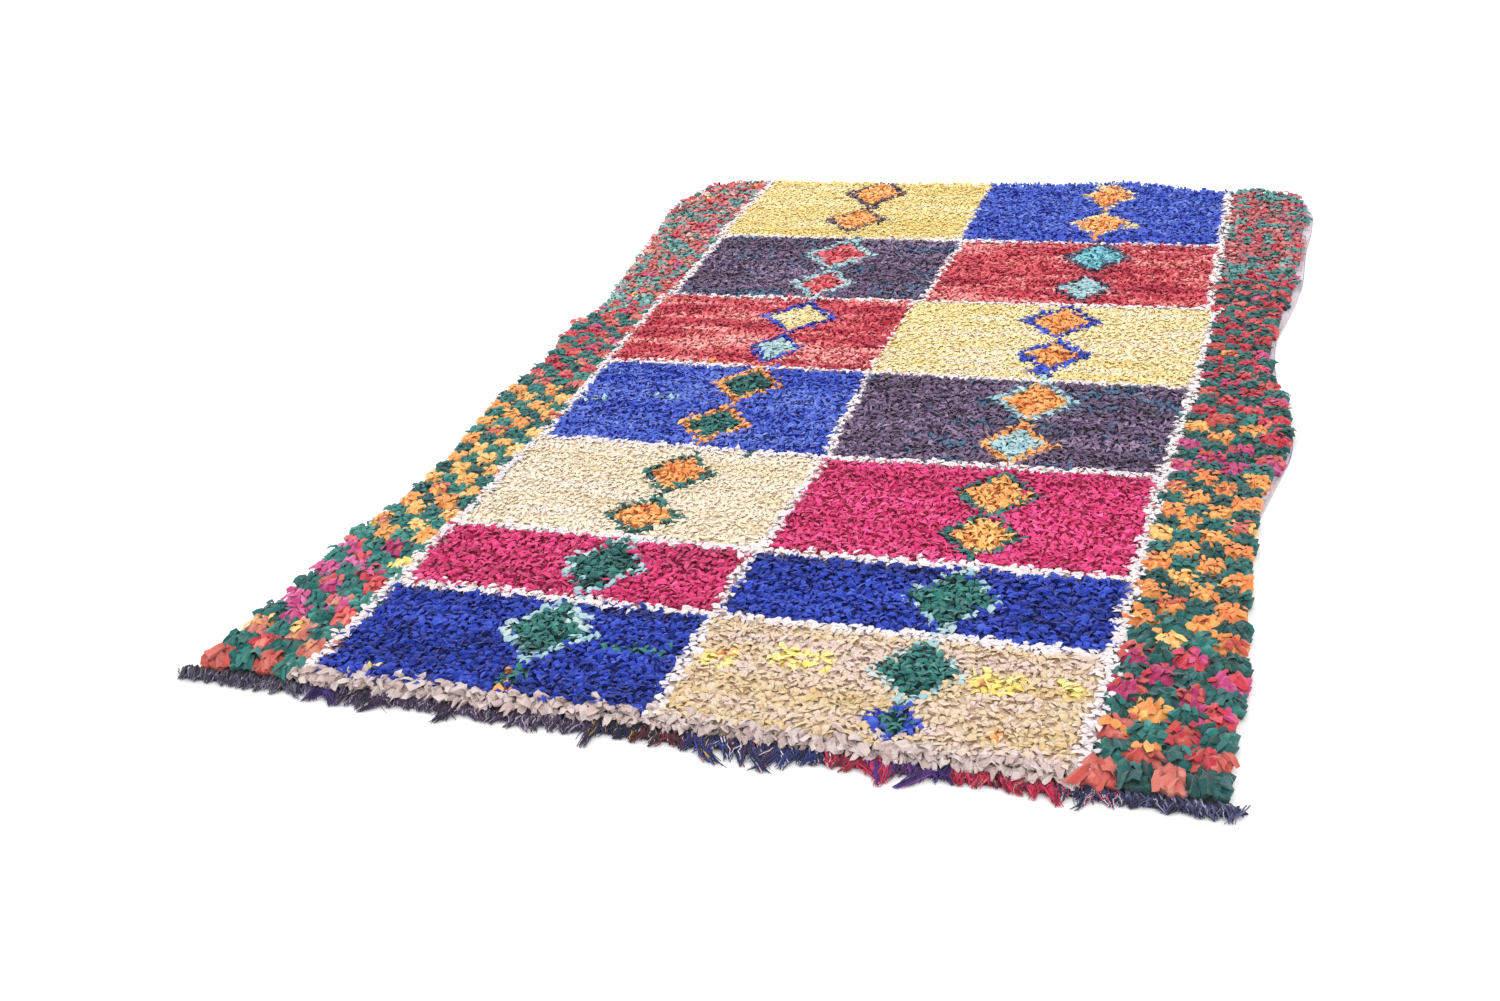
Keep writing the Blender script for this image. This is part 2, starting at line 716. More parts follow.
def make_mounds(name: str, top: Array, shade: Array, rise: Array, material: Material) -> Object:
    """Makes one joined mesh of closed mounds, each a surface over a sunken flat base.

    Args:
        name: The piece's name.
        top: Points of each mound's surface in the field frame, (mounds, across, along, 3).
        shade: A number from 0 to 1 for each point, which picks its colour.
        rise: A number from 0 to 1 for each point, low in the creases.
        material: The finish.

    Returns:
        The object.
    """
    mounds, wide, long = top.shape[:3]
    order = np.arange(wide * long).reshape(wide, long)
    rim = grid_rim(order)
    cloth = top.reshape(mounds, -1, 3)
    base = cloth[:, rim] * 0.92 + cloth.mean(1, keepdims=True) * 0.08
    base[..., 2] = MOUND_BASE
    each = wide * long + len(rim)
    first = (np.arange(mounds) * each)[:, None, None]
    quads = grid_faces(order)
    low = wide * long + np.arange(len(rim))
    walls = np.stack([rim, low, np.roll(low, -1), np.roll(rim, -1)], -1)
    corner, columns = cell_corners(mounds)
    corner = corner[:, None, None]
    u, v = (g.ravel() for g in np.meshgrid(np.linspace(0, 1, wide), np.linspace(0, 1, long), indexing="ij"))
    flat = np.stack([0.02 + 0.94 * u, 0.18 + 0.78 * v], -1)
    along = np.arange(len(rim))[:, None] + np.array([0, 0, 1, 1])[None]
    upright = np.broadcast_to([0.16, 0.10, 0.10, 0.16], along.shape)
    wall = np.stack([0.02 + 0.94 * along / len(rim), upright], -1)
    under = disc_chart(-2 * np.pi * np.arange(len(rim)) / len(rim), 0.05, 0.035)[None]
    faces = [(first + f[None]).reshape(-1, f.shape[1]) for f in (quads, walls, low[None, ::-1])]
    charts = [(corner + c[None] / columns).reshape(-1, c.shape[1], 2) for c in (flat[quads], wall, under)]
    tone, high = shade.reshape(mounds, -1), rise.reshape(mounds, -1)
    tone = np.concatenate([tone, tone[:, rim]], 1)
    high = np.concatenate([high, np.zeros((mounds, len(rim)))], 1)
    points = np.concatenate([cloth, base], 1).reshape(-1, 3)
    numbers = {"shade": tone.ravel(), "rise": high.ravel()}
    return make_mesh(name, points, faces, charts, numbers, material, MOUND_CREASE)


class Cut(Enum):
    """How a rag end was cut and creased: a small pointed tuft, a folded flap, or a flap with two folds."""

    TUFT = "tuft"
    FLAP = "flap"
    RUFFLE = "ruffle"

    @property
    def spread(self) -> tuple[float, float]:
        """Share of the full width at the knee and at the tip."""
        return (1.0, 0.9) if self is Cut.TUFT else (0.85, 1.10)

    @property
    def tip(self) -> tuple[float, float]:
        """Least and greatest share of the width that the cut leaves at the tip."""
        return (0.5, 1.0) if self is Cut.TUFT else (0.65, 1.1)

    @property
    def crease(self) -> float:
        """The angle from which its edges look sharp: small tufts look crisp, wide flaps softer."""
        return 26.0 if self is Cut.TUFT else 34.0


# A rag end leaves its knot almost upright, in radians, and half a flap's folded cloth is this thick
ROOT_PITCH = 1.35
CLOTH_HALF = 0.0011


def direction(pitch: Array, turn: Array) -> Array:
    """The unit vectors at these angles above the ground and round from across."""
    return np.stack([np.cos(pitch) * np.cos(turn), np.cos(pitch) * np.sin(turn), np.sin(pitch)], -1)


@dataclass
class RagEnds:
    """Cut rag ends, one entry of every array for each end.

    Each stands up from its knot to a knee and then flops over: rise is the knee's height above the root, and
    length what lies beyond it.
    """

    root: Array
    heading: Array
    rise: Array
    length: Array
    width: Array
    level: Array
    droop: Array
    roll: Array
    fold: Array
    shade: Array
    cloth: Array

    def pick(self, keep: Array) -> "RagEnds":
        """The ends for which keep is true."""
        return RagEnds(**{name: values[keep] for name, values in vars(self).items()})

    @staticmethod
    def join(several: list["RagEnds"]) -> "RagEnds":
        """All of these ends as one set."""
        names = vars(several[0])
        return RagEnds(**{name: np.concatenate([getattr(s, name) for s in several]) for name in names})

    def rings(self, count: int, cut: Cut, rng: Rng) -> Array:
        """Works out the points of every end.

        Args:
            count: Rings along an end, the first at its root and the second at its knee.
            cut: Its cross-section.
            rng: Draws the crumples.

        Returns:
            Points in the field frame, (ends, count, points round, 3).
        """
        ends = len(self.length)
        t = np.linspace(0, 1, count - 1)
        bend = self.level[:, None] - self.droop[:, None] * t[None]
        if count > 3:
            bend[:, 1:-1] += rng.normal(0, 0.16, (ends, count - 3))
        pitch = np.concatenate([np.full((ends, 1), ROOT_PITCH), (bend[:, :1] + 1.0) / 2, bend[:, 1:]], 1)
        turn = self.heading[:, None] + rng.normal(0, 0.10, (ends, count))
        ahead = direction(pitch, turn)
        way = direction((bend[:, 1:] + bend[:, :-1]) / 2, turn[:, 1:-1])
        step = self.length[:, None, None] / (count - 2)
        lean = self.rise[:, None] * 0.22 * np.stack([np.cos(self.heading), np.sin(self.heading)], -1)
        knee = self.root + np.concatenate([lean, self.rise[:, None]], -1)
        root, knee = self.root[:, None], knee[:, None]
        path = np.concatenate([root, knee, knee + np.cumsum(way * step, 1)], 1)
        flat = np.stack([-np.sin(turn), np.cos(turn), np.zeros_like(turn)], -1)
        up = np.cross(ahead, flat)
        roll = self.roll[:, None, None] * np.linspace(0.2, 1, count)[None, :, None]
        side = flat * np.cos(roll) + up * np.sin(roll)
        face = np.cross(ahead, side)
        spread = np.concatenate([[0.50], np.linspace(*cut.spread, count - 1)])
        width = self.width[:, None] * spread[None] * rng.uniform(0.84, 1.16, (ends, count))
        width[:, -1] *= rng.uniform(*cut.tip, ends)
        half, fold = width[..., None] / 2, self.fold[:, None, None] * width[..., None]
        skew = rng.normal(0, 0.18, (ends, count, 1))
        slant = np.zeros((ends, count, 1))
        slant[:, -1, 0] = rng.normal(0, 0.28, ends) * self.width
        left = path - side * half + ahead * slant
        right = path + side * half - ahead * slant
        crest = path + side * half * skew + face * fold
        if cut is Cut.TUFT:
            return np.stack([left, crest, right], 2)
        lifted, under = face * CLOTH_HALF, -face * CLOTH_HALF
        if cut is Cut.FLAP:
            return np.stack([left, crest + lifted, right, crest + under], 2)
        wave = rng.normal(0, 0.08, (ends, count, 1)) * width[..., None]
        near = path - side * half * (0.36 + skew) + face * (fold + wave)
        away = path + side * half * (0.36 - skew) + face * (wave - 0.75 * fold)
        near, away = near + ahead * slant * 0.8, away - ahead * slant * 1.1
        return np.stack([left, near + lifted, away + lifted, right, away + under, near + under], 2)


@dataclass(frozen=True)
class Outline:
    """The rug's outline as the photo shows it, each row of numbers a place and the reach there."""

    left: Table = (
        (-0.002, 0.784), (0.050, 0.792), (0.200, 0.772), (0.440, 0.763), (0.560, 0.738), (0.760, 0.740),
        (0.930, 0.763), (1.190, 0.745), (1.320, 0.770), (1.430, 0.746), (1.610, 0.763), (1.840, 0.797),
        (2.000, 0.815), (2.136, 0.836), (2.250, 0.815), (2.320, 0.792), (2.352, 0.774),
    )  # fmt: skip
    right: Table = (
        (-0.002, 0.768, 0.000), (0.200, 0.774, 0.000), (0.380, 0.772, 0.000), (0.530, 0.762, 0.000),
        (0.700, 0.762, 0.003), (0.830, 0.782, 0.014), (0.948, 0.800, 0.019), (1.100, 0.788, 0.019),
        (1.270, 0.755, 0.011), (1.430, 0.748, 0.012), (1.560, 0.764, 0.018), (1.700, 0.781, 0.022),
        (1.920, 0.782, 0.022), (2.080, 0.788, 0.024), (2.190, 0.782, 0.024), (2.270, 0.758, 0.022),
        (2.310, 0.735, 0.016),
    )  # fmt: skip
    far: Table = (
        (-0.780, 2.340), (-0.700, 2.362), (-0.500, 2.352), (-0.200, 2.344), (0.000, 2.346), (0.200, 2.340),
        (0.330, 2.366), (0.440, 2.330), (0.570, 2.298), (0.640, 2.318), (0.740, 2.290),
    )  # fmt: skip
    near: float = -0.002

    def left_edge(self, along: Array) -> Array:
        """Where the rug's left edge is, across."""
        return -follow(along, self.left)

    def right_edge(self, along: Array) -> Array:
        """Where the rug's right edge is, across, with its bare selvedge."""
        return follow(along, self.right)

    def bare(self, along: Array) -> Array:
        """How much of the right edge is bare selvedge."""
        return np.maximum(follow(along, self.right, 2), 0.0)

    def shown(self, along: Array) -> Array:
        """How much of the bare selvedge is seen, because the outer knots reach over it unevenly."""
        return self.bare(along) * (0.15 + 0.85 * drift(np.zeros_like(along), along, 1.0, 0.055, 35))

    def far_edge(self, across: Array) -> Array:
        """Where the far end is, along."""
        return follow(across, self.far)


@dataclass(frozen=True)
class PanelRow:
    """One row of two panels: its far line at the left, middle and right, its edges and its two cloths."""

    name: str
    far: tuple[float, float, float]
    left: tuple[float, float]
    middle: tuple[float, float]
    right: tuple[float, float]
    cloths: tuple[Cloth, Cloth]
    lots: tuple[float, float] = (0.0, 0.0)

    def line(self, across: Array) -> Array:
        """Where its far line is, along."""
        return np.interp(across, [-0.6, 0.0, 0.6], self.far)


@dataclass(frozen=True)
class Diamond:
    """A knotted diamond: its middle, half sizes and cloth, and its rim with the share that was knotted."""

    across: float
    along: float
    wide: float
    long: float
    cloth: Cloth
    rim: Cloth
    rim_share: float
    rim_width: float = 0.017


@dataclass(frozen=True)
class Flecks:
    """Short runs of knots in another rag: each a box across and along, with the share that was knotted."""

    cloth: Cloth
    boxes: Table


@dataclass
class FieldPattern:
    """The panels, the white lines that part them and the diamonds knotted on them."""

    rows: tuple[PanelRow, ...] = (
        PanelRow("a", (0.271, 0.270, 0.272), (-0.603, -0.594), (-0.020, -0.018), (0.588, 0.592),
                 (Cloth.COBALT, Cloth.TAN), (-0.22, 0.0)),
        PanelRow("b", (0.470, 0.466, 0.478), (-0.593, -0.594), (-0.018, -0.022), (0.592, 0.598),
                 (Cloth.RASPBERRY, Cloth.COBALT), (-0.08, -0.18)),
        PanelRow("c", (0.806, 0.800, 0.812), (-0.588, -0.592), (-0.014, 0.002), (0.597, 0.600),
                 (Cloth.CREAM, Cloth.RASPBERRY)),
        PanelRow("d", (1.166, 1.168, 1.162), (-0.584, -0.600), (0.000, -0.018), (0.600, 0.614),
                 (Cloth.COBALT, Cloth.CHARCOAL), (0.31, 0.0)),
        PanelRow("e", (1.530, 1.540, 1.546), (-0.602, -0.612), (-0.020, -0.018), (0.616, 0.622),
                 (Cloth.RED, Cloth.YELLOW), (0.04, 0.10)),
        PanelRow("f", (1.922, 1.916, 1.908), (-0.600, -0.612), (-0.006, 0.006), (0.606, 0.600),
                 (Cloth.CHARCOAL, Cloth.RED)),
        PanelRow("g", (2.500, 2.500, 2.500), (-0.626, -0.622), (-0.004, -0.012), (0.598, 0.586),
                 (Cloth.YELLOW, Cloth.COBALT), (-0.22, 0.25)),
    )  # fmt: skip
    diamonds: tuple[Diamond, ...] = (
        Diamond(-0.265, 0.180, 0.068, 0.072, Cloth.EMERALD, Cloth.PALE_BLUE, 0.76),
        Diamond(-0.257, 0.377, 0.065, 0.082, Cloth.EMERALD, Cloth.PALE_BLUE, 0.70),
        Diamond(-0.252, 0.703, 0.055, 0.062, Cloth.ORANGE, Cloth.EMERALD, 0.92, 0.021),
        Diamond(-0.257, 0.545, 0.060, 0.050, Cloth.ORANGE, Cloth.EMERALD, 0.90, 0.019),
        Diamond(-0.252, 1.084, 0.055, 0.064, Cloth.EMERALD, Cloth.ORANGE, 0.96, 0.020),
        Diamond(-0.257, 0.904, 0.055, 0.064, Cloth.EMERALD, Cloth.ORANGE, 0.96, 0.021),
        Diamond(-0.252, 1.428, 0.067, 0.068, Cloth.YELLOW, Cloth.COBALT, 1.00, 0.022),
        Diamond(-0.252, 1.260, 0.046, 0.058, Cloth.PALE_BLUE, Cloth.COBALT, 0.97, 0.019),
        Diamond(-0.271, 1.808, 0.065, 0.080, Cloth.RED, Cloth.PALE_BLUE, 0.97, 0.022),
        Diamond(-0.260, 1.625, 0.056, 0.064, Cloth.RED, Cloth.PALE_BLUE, 0.97, 0.021),
        Diamond(-0.300, 2.249, 0.065, 0.083, Cloth.ORANGE, Cloth.CHARCOAL, 0.92, 0.020),
        Diamond(-0.300, 2.052, 0.065, 0.072, Cloth.ORANGE, Cloth.CHARCOAL, 0.82, 0.020),
        Diamond(0.329, 0.184, 0.061, 0.072, Cloth.EMERALD, Cloth.PALE_BLUE, 0.50),
        Diamond(0.325, 0.060, 0.026, 0.028, Cloth.EMERALD, Cloth.COBALT, 1.00, 0.017),
        Diamond(0.335, 0.377, 0.068, 0.080, Cloth.EMERALD, Cloth.PALE_BLUE, 0.38),
        Diamond(0.335, 0.708, 0.060, 0.068, Cloth.GOLD, Cloth.EMERALD, 0.88, 0.018),
        Diamond(0.337, 0.571, 0.056, 0.062, Cloth.GOLD, Cloth.EMERALD, 0.88, 0.018),
        Diamond(0.331, 1.075, 0.066, 0.078, Cloth.ORANGE, Cloth.PALE_BLUE, 0.80, 0.017),
        Diamond(0.331, 0.895, 0.052, 0.058, Cloth.PALE_BLUE, Cloth.ORANGE, 0.95, 0.021),
        Diamond(0.317, 1.453, 0.060, 0.070, Cloth.ORANGE, Cloth.COBALT, 0.90, 0.022),
        Diamond(0.331, 1.283, 0.056, 0.054, Cloth.ORANGE, Cloth.COBALT, 0.90, 0.024),
        Diamond(0.335, 1.824, 0.063, 0.078, Cloth.TEAL_BLUE, Cloth.CHARCOAL, 0.97, 0.021),
        Diamond(0.335, 1.637, 0.054, 0.060, Cloth.PALE_BLUE, Cloth.CHARCOAL, 0.82, 0.019),
        Diamond(0.305, 2.245, 0.054, 0.082, Cloth.ORANGE, Cloth.YELLOW, 0.52, 0.018),
        Diamond(0.313, 2.046, 0.067, 0.068, Cloth.ORANGE, Cloth.YELLOW, 0.57, 0.018),
    )
    flecks: tuple[Flecks, ...] = (
        Flecks(Cloth.PALE_BLUE, (
            (-0.240, -0.212, 0.204, 0.234, 0.9), (-0.346, -0.328, 0.166, 0.190, 0.75),
            (-0.430, -0.360, 1.000, 1.020, 0.35), (-0.585, -0.520, 0.975, 0.992, 0.3),
            (0.322, 0.342, 1.164, 1.186, 0.8), (-0.262, -0.242, 0.270, 0.292, 0.7),
            (0.325, 0.345, 0.270, 0.300, 0.8), (0.325, 0.343, 0.110, 0.120, 0.8),
            (-0.290, -0.262, 1.712, 1.734, 0.8), (-0.268, -0.246, 1.895, 1.930, 0.6),
            (-0.262, -0.244, 1.520, 1.560, 0.6),
        )),
        Flecks(Cloth.EMERALD, (
            (-0.285, -0.262, 0.030, 0.075, 0.8), (-0.262, -0.245, 0.046, 0.080, 0.9),
            (-0.155, -0.050, 0.146, 0.163, 0.85), (-0.155, -0.138, 0.786, 0.808, 1.0),
        )),
        Flecks(Cloth.ORANGE, (
            (-0.290, -0.272, 0.058, 0.078, 0.8), (-0.272, -0.258, 0.012, 0.034, 0.8),
            (-0.375, -0.355, 1.180, 1.196, 1.0), (0.456, 0.478, 0.050, 0.068, 0.9),
            (0.322, 0.340, 0.962, 0.990, 0.9), (-0.262, -0.240, 0.984, 1.000, 0.9),
            (0.298, 0.318, 2.120, 2.162, 0.9), (0.306, 0.330, 1.930, 1.975, 0.9),
        )),
        Flecks(Cloth.LEMON, (
            (-0.506, -0.486, 0.030, 0.048, 1.0), (-0.004, 0.062, 0.138, 0.174, 0.8),
            (0.106, 0.200, 0.160, 0.204, 0.75), (0.404, 0.488, 0.148, 0.194, 0.8),
            (0.528, 0.572, 0.162, 0.196, 0.75),
        )),
        Flecks(Cloth.GOLD, (
            (0.020, 0.044, 0.166, 0.182, 0.7), (0.140, 0.160, 0.186, 0.200, 0.5),
            (0.412, 0.440, 0.158, 0.176, 0.5),
        )),
        Flecks(Cloth.COBALT, ((0.300, 0.345, 1.186, 1.226, 0.85),)),
        Flecks(Cloth.CHARCOAL, (
            (-0.305, -0.270, 1.955, 1.985, 0.7), (-0.300, -0.270, 2.128, 2.160, 0.8),
            (0.322, 0.342, 1.714, 1.734, 0.7),
        )),
        Flecks(Cloth.YELLOW, (
            (0.258, 0.282, 2.300, 2.336, 0.9), (0.376, 0.402, 2.016, 2.040, 0.9),
        )),
    )  # fmt: skip
    line: Table = ((0.30, 0.0086), (0.90, 0.0070), (1.60, 0.0052))
    side_line: Table = ((0.80, 0.0095), (1.50, 0.0062))
    faint: tuple[int, ...] = (4, 6)
    ends: tuple[float, float] = (-0.01, 2.35)

    def row_of(self, across: Array, along: Array) -> Array:
        """Which row of panels each place is in."""
        return np.sum([along > row.line(across) for row in self.rows[:-1]], axis=0).astype(int)

    def edges(self, across: Array, along: Array) -> tuple[Array, Array, Array]:
        """Finds the lines of the panels beside each place.

        Args:
            across: Places across.
            along: Places along.

        Returns:
            The left, middle and right lines there, across.
        """
        index = self.row_of(across, along)
        between = [row.far[1] for row in self.rows[:-1]]
        near, far = np.array([self.ends[0], *between]), np.array([*between, self.ends[1]])
        t = np.clip((along - near[index]) / (far[index] - near[index]), 0, 1)
        lines = []
        for name in ("left", "middle", "right"):
            ends = np.array([getattr(row, name) for row in self.rows])
            lines.append(ends[index, 0] * (1 - t) + ends[index, 1] * t)
        return lines[0], lines[1], lines[2]

    def column_of(self, across: Array, along: Array) -> Array:
        """Which column of panels each place is in, 0 for the left one and 1 for the right one."""
        return (across > self.edges(across, along)[1]).astype(int)

    def plain_at(self, across: Array, along: Array) -> Array:
        """The number of the cloth that fills the panel at each place."""
        pairs = np.array([[cloth.value for cloth in row.cloths] for row in self.rows])
        return pairs[self.row_of(across, along), self.column_of(across, along)]

    def beside(self, along: Array) -> Array:
        """How far the white side lines reach on either side of the panels' edges."""
        return np.interp(along, *zip(*self.side_line))

    def cloth_at(self, across: Array, along: Array, chance: Array) -> Array:
        """Which cloth is knotted at each place.

        Args:
            across: Places across.
            along: Places along.
            chance: A number from 0 to 1 for each place, for runs that skip knots.

        Returns:
            The number of the cloth at each place.
        """
        found = self.plain_at(across, along)
        for diamond in self.diamonds:
            x, y = np.abs(across - diamond.across), np.abs(along - diamond.along)
            rim = x / (diamond.wide + diamond.rim_width) + y / (diamond.long + diamond.rim_width)
            found[(rim < 1) & (chance < diamond.rim_share)] = diamond.rim.value
            found[x / diamond.wide + y / diamond.long < 1] = diamond.cloth.value
        found[self.on_line(across, along)] = Cloth.WHITE.value
        for flecks in self.flecks:
            for left, right, near, far, share in flecks.boxes:
                inside = (across > left) & (across < right) & (along > near) & (along < far)
                found[inside & (chance < share)] = flecks.cloth.value
        return found

    def on_line(self, across: Array, along: Array) -> Array:
        """Finds the white lines, of which the middle one is faint in two rows.

        Args:
            across: Places across.
            along: Places along.

        Returns:
            Whether each place is on a line.
        """
        left, middle, right = self.edges(across, along)
        faint = np.isin(self.row_of(across, along), self.faint)
        half, beside = np.interp(along, *zip(*self.line)), self.beside(along)
        on = np.abs(across - middle) < np.where(faint, 0.0015, half * 0.9)
        on |= (np.abs(across - left) < beside) | (np.abs(across - right) < beside)
        for row in self.rows[:-1]:
            on |= np.abs(along - row.line(across)) < half
        return on


def flips(rng: Rng, count: int, back: float) -> Array:
    """Draws which way each rag end folds, with this share of them folded back."""
    return rng.choice([-1, 1], count, p=[back, 1 - back])


@dataclass
class Pile:
    """The knotted field: rows of rag ends that lie over each other towards the near end."""

    outline: Outline
    pattern: FieldPattern
    row_pitch: float = 0.0078
    end_pitch: float = 0.0074
    root_height: float = 0.0085
    knee: float = 0.0115
    tuft_length: float = 0.0135
    tuft_width: float = 0.0080
    seed: int = 11

    def knot(self) -> RagEnds:
        """Lays out the ends in rows.

        Returns:
            The rag ends of the whole field.
        """
        rng = np.random.default_rng(self.seed)
        rows = np.arange(0.014, 2.37, self.row_pitch)
        columns = np.arange(-0.66, 0.66, self.end_pitch)
        along, across = (g.ravel() for g in np.meshgrid(rows, columns, indexing="ij"))
        odd = (np.round((along - rows[0]) / self.row_pitch).astype(int) % 2) * 0.5
        across = across + odd * self.end_pitch + rng.normal(0, 0.0013, along.size)
        along = along + rng.normal(0, 0.0012, along.size)
        along += (drift(across, along, 0.20, 0.08, 5) - 0.5) * 0.008
        left, _, right = self.pattern.edges(across, along)
        beside = self.pattern.beside(along)
        keep = (across > left - beside) & (across < right + beside)
        keep &= along < self.outline.far_edge(across) - 0.006
        across, along = across[keep], along[keep]
        cloth = self.pattern.cloth_at(across, along, rng.random(across.size))
        count = across.size
        heading = np.radians(-90 + rng.normal(0, 50, count))
        stray = rng.random(count) < 0.15
        heading[stray] = rng.uniform(0, 2 * np.pi, stray.sum())
        white = cloth == Cloth.WHITE.value
        blue = cloth == Cloth.PALE_BLUE.value
        calm = np.where(np.isin(cloth, SMOOTH), np.interp(along, [0.3, 0.7], [0.70, 0.34]), 1.0)
        calm = np.where(white, np.interp(along, [0.6, 1.2], [0.42, 0.25]), np.where(blue, 0.6, calm))
        motif = cloth != self.pattern.plain_at(across, along)
        full = np.where(white | blue, 1.35, np.where(motif, 1.18, 1.0))
        relief = 1.0 + 0.28 * (drift(across, along, 0.05, 0.03, 9) - 0.5) * calm
        lift = np.where(white | blue, 1.08, 1.0)
        return RagEnds(
            root=np.stack([across, along, np.full(count, self.root_height)], -1),
            heading=heading,
            rise=self.knee * relief * lift * (1 + rng.normal(0, 0.16, count) * calm),
            length=self.tuft_length * rng.lognormal(0, 0.20, count),
            width=self.tuft_width * rng.lognormal(0, 0.24, count) * full,
            level=np.radians(14 + (6 + rng.normal(0, 18, count)) * calm),
            droop=np.radians(30 + (16 + rng.normal(0, 20, count)) * calm),
            roll=np.radians(rng.normal(0, 34, count) * calm),
            fold=flips(rng, count, 0.35) * rng.uniform(0.12, 0.34, count) * (0.4 + 0.6 * calm),
            shade=self.shade(across, along, cloth, rng),
            cloth=cloth,
        )

    def shade(self, across: Array, along: Array, cloth: Array, rng: Rng) -> Array:
        """Picks the rag of its lot that each end is: rags change along a row, so the colour streaks across.

        Args:
            across: Places across.
            along: Places along.
            cloth: The number of each end's cloth.
            rng: Draws the single rags.

        Returns:
            A number from 0 to 1 for each end.
        """
        streak = drift(across, along, 0.10, 0.013, 21) * 0.6 + drift(across, along, 0.30, 0.040, 22) * 0.4
        streak = np.clip((streak - 0.5) * 1.7 + 0.5, 0, 1)
        single = rng.random(across.size)
        red = cloth == Cloth.RED.value
        streak = np.where(red, np.clip((streak - 0.5) * 1.7 + 0.56, 0, 1), streak)
        pale = np.isin(cloth, [Cloth.CREAM.value, Cloth.YELLOW.value, Cloth.TAN.value])
        share = np.where(red, 0.80, np.where(pale, 0.72, 0.55))
        found = share * streak + (1 - share) * single
        index, column = self.pattern.row_of(across, along), self.pattern.column_of(across, along)
        lots = np.array([row.lots for row in self.pattern.rows])[index, column]
        plain = self.pattern.plain_at(across, along) == cloth
        found = np.clip(found * 0.86 + np.where(plain, lots, 0.0), 0, 0.86)
        found = np.where(cloth == Cloth.WHITE.value, 0.30 + 0.6 * found, found)
        rim = (cloth == Cloth.CHARCOAL.value) & ~plain
        found = np.where(rim, found * 0.4, found)
        patch = drift(across, along, 0.085, 0.030, 23) + (rng.random(across.size) - 0.5) * 0.16
        dark = (cloth == Cloth.CHARCOAL.value) & ~rim & (rng.random(across.size) < 0.65)
        found = np.where(dark & (patch > 0.78), 0.918 + 0.026 * single, found)
        found = np.where(dark & (patch > 0.98), 0.98, found)
        return np.where(dark & (patch < 0.17), 0.87 + 0.03 * single, found)


@dataclass(frozen=True)
class BorderZone:
    """A stretch of a border: where it ends, and its warm cloths with their shares."""

    until: float
    cloths: tuple[tuple[Cloth, float], ...]


@dataclass(frozen=True)
class Check:
    """One check of a border: its middle, half sizes, cloth, the shade of its lot, and how it was knotted."""

    across: float
    along: float
    wide: float
    long: float
    cloth: Cloth
    lot: float
    fine: bool
    first: bool


@dataclass
class Mounds:
    """Checks as crumpled mounds: a dome of pleats that fan towards the near end, with a toothed near rim."""

    checks: list[Check]
    seed: int
    grid: tuple[int, int] = (14, 11)

    def surface(self) -> tuple[Array, Array, Array]:
        """Works out every mound's upper surface.

        Returns:
            Points in the field frame, (mounds, across, along, 3), with the shade and the rise of each point.
        """
        rng = np.random.default_rng(self.seed)
        count = len(self.checks)
        middle = np.array([[c.across, c.along] for c in self.checks])[:, None, None]
        half = np.array([[c.wide, c.long] for c in self.checks])[:, None, None]
        u, v = np.meshgrid(*(np.linspace(-1, 1, n) for n in self.grid), indexing="ij")
        u, v = (g[None] + rng.normal(0, 0.035, (count, *self.grid)) for g in (u, v))
        x, y = u * (1 - 0.13 * v**2) * half[..., 0], v * (1 - 0.13 * u**2) * half[..., 1]
        apex_x = rng.uniform(-0.6, 0.6, (count, 1, 1)) * half[..., 0]
        apex_y = rng.uniform(1.2, 2.4, (count, 1, 1)) * half[..., 1]
        angle, reach = np.arctan2(x - apex_x, apex_y - y), np.hypot(x - apex_x, apex_y - y)
        far = rng.uniform(0, 0.9, (count, 1, 1))
        waves = drift(angle * 0.040 + far, reach + far, 0.0042, 0.011, self.seed + 1)
        pleat = 1 - np.abs(2 * waves - 1)
        small = drift(x + far, y - far, 0.0042, 0.0042, self.seed + 2) - 0.5
        push = drift(x - far, y + far, 0.0070, 0.0070, self.seed + 3) - 0.5
        dome = np.interp(v, [-1, -0.65, -0.1, 0.5, 1], [0.5, 0.95, 1.0, 0.5, 0.05])
        swell = (1 - np.clip(np.abs(u), 0, 1) ** 2.6) * dome
        front = np.clip((-v - 0.5) / 0.5, 0, 1)
        side = np.clip((np.abs(u) - 0.6) / 0.4, 0, 1)
        x = x * (1 + side * (pleat - 0.35) * 0.36) + push * 0.0040
        y = y - 0.0045 * np.clip(0.3 - v, 0, 1.3) - front * (pleat - 0.3) * 0.0095
        y = y + np.roll(push, 1, 0) * 0.0028
        z = 0.0108 + 0.0092 * swell + (pleat - 0.45) * 0.0078 * (0.5 + 0.5 * swell) + small * 0.0044
        lot = np.array([c.lot for c in self.checks])[:, None, None]
        shade = lot + push * 0.85 + small * 0.40 + rng.normal(0, 0.05, z.shape)
        rise = np.clip(0.95 * pleat + 0.16 * swell - 0.06, 0, 1)
        return np.stack([x + middle[..., 0], y + middle[..., 1], z], -1), np.clip(shade, 0.02, 0.9), rise


# Checks: their lengths at places along, the length of the far spots, and the gap to the white side lines
CHECK_LENGTHS: Table = ((0.0, 0.046), (0.35, 0.042), (1.0, 0.037), (1.5, 0.031), (1.6, 0.028))
SPOT_LENGTH = 0.021
LINE_GAP = 0.004

# Warm rags were short, so many a check ran out of one and was filled with another
PARTNERS: dict[Cloth, tuple[Cloth, ...]] = {
    Cloth.CORAL: (Cloth.GOLD, Cloth.CRIMSON),
    Cloth.MAGENTA: (Cloth.CRIMSON, Cloth.CORAL),
    Cloth.GOLD: (Cloth.ORANGE, Cloth.CORAL),
    Cloth.CRIMSON: (Cloth.MAGENTA, Cloth.CORAL),
}


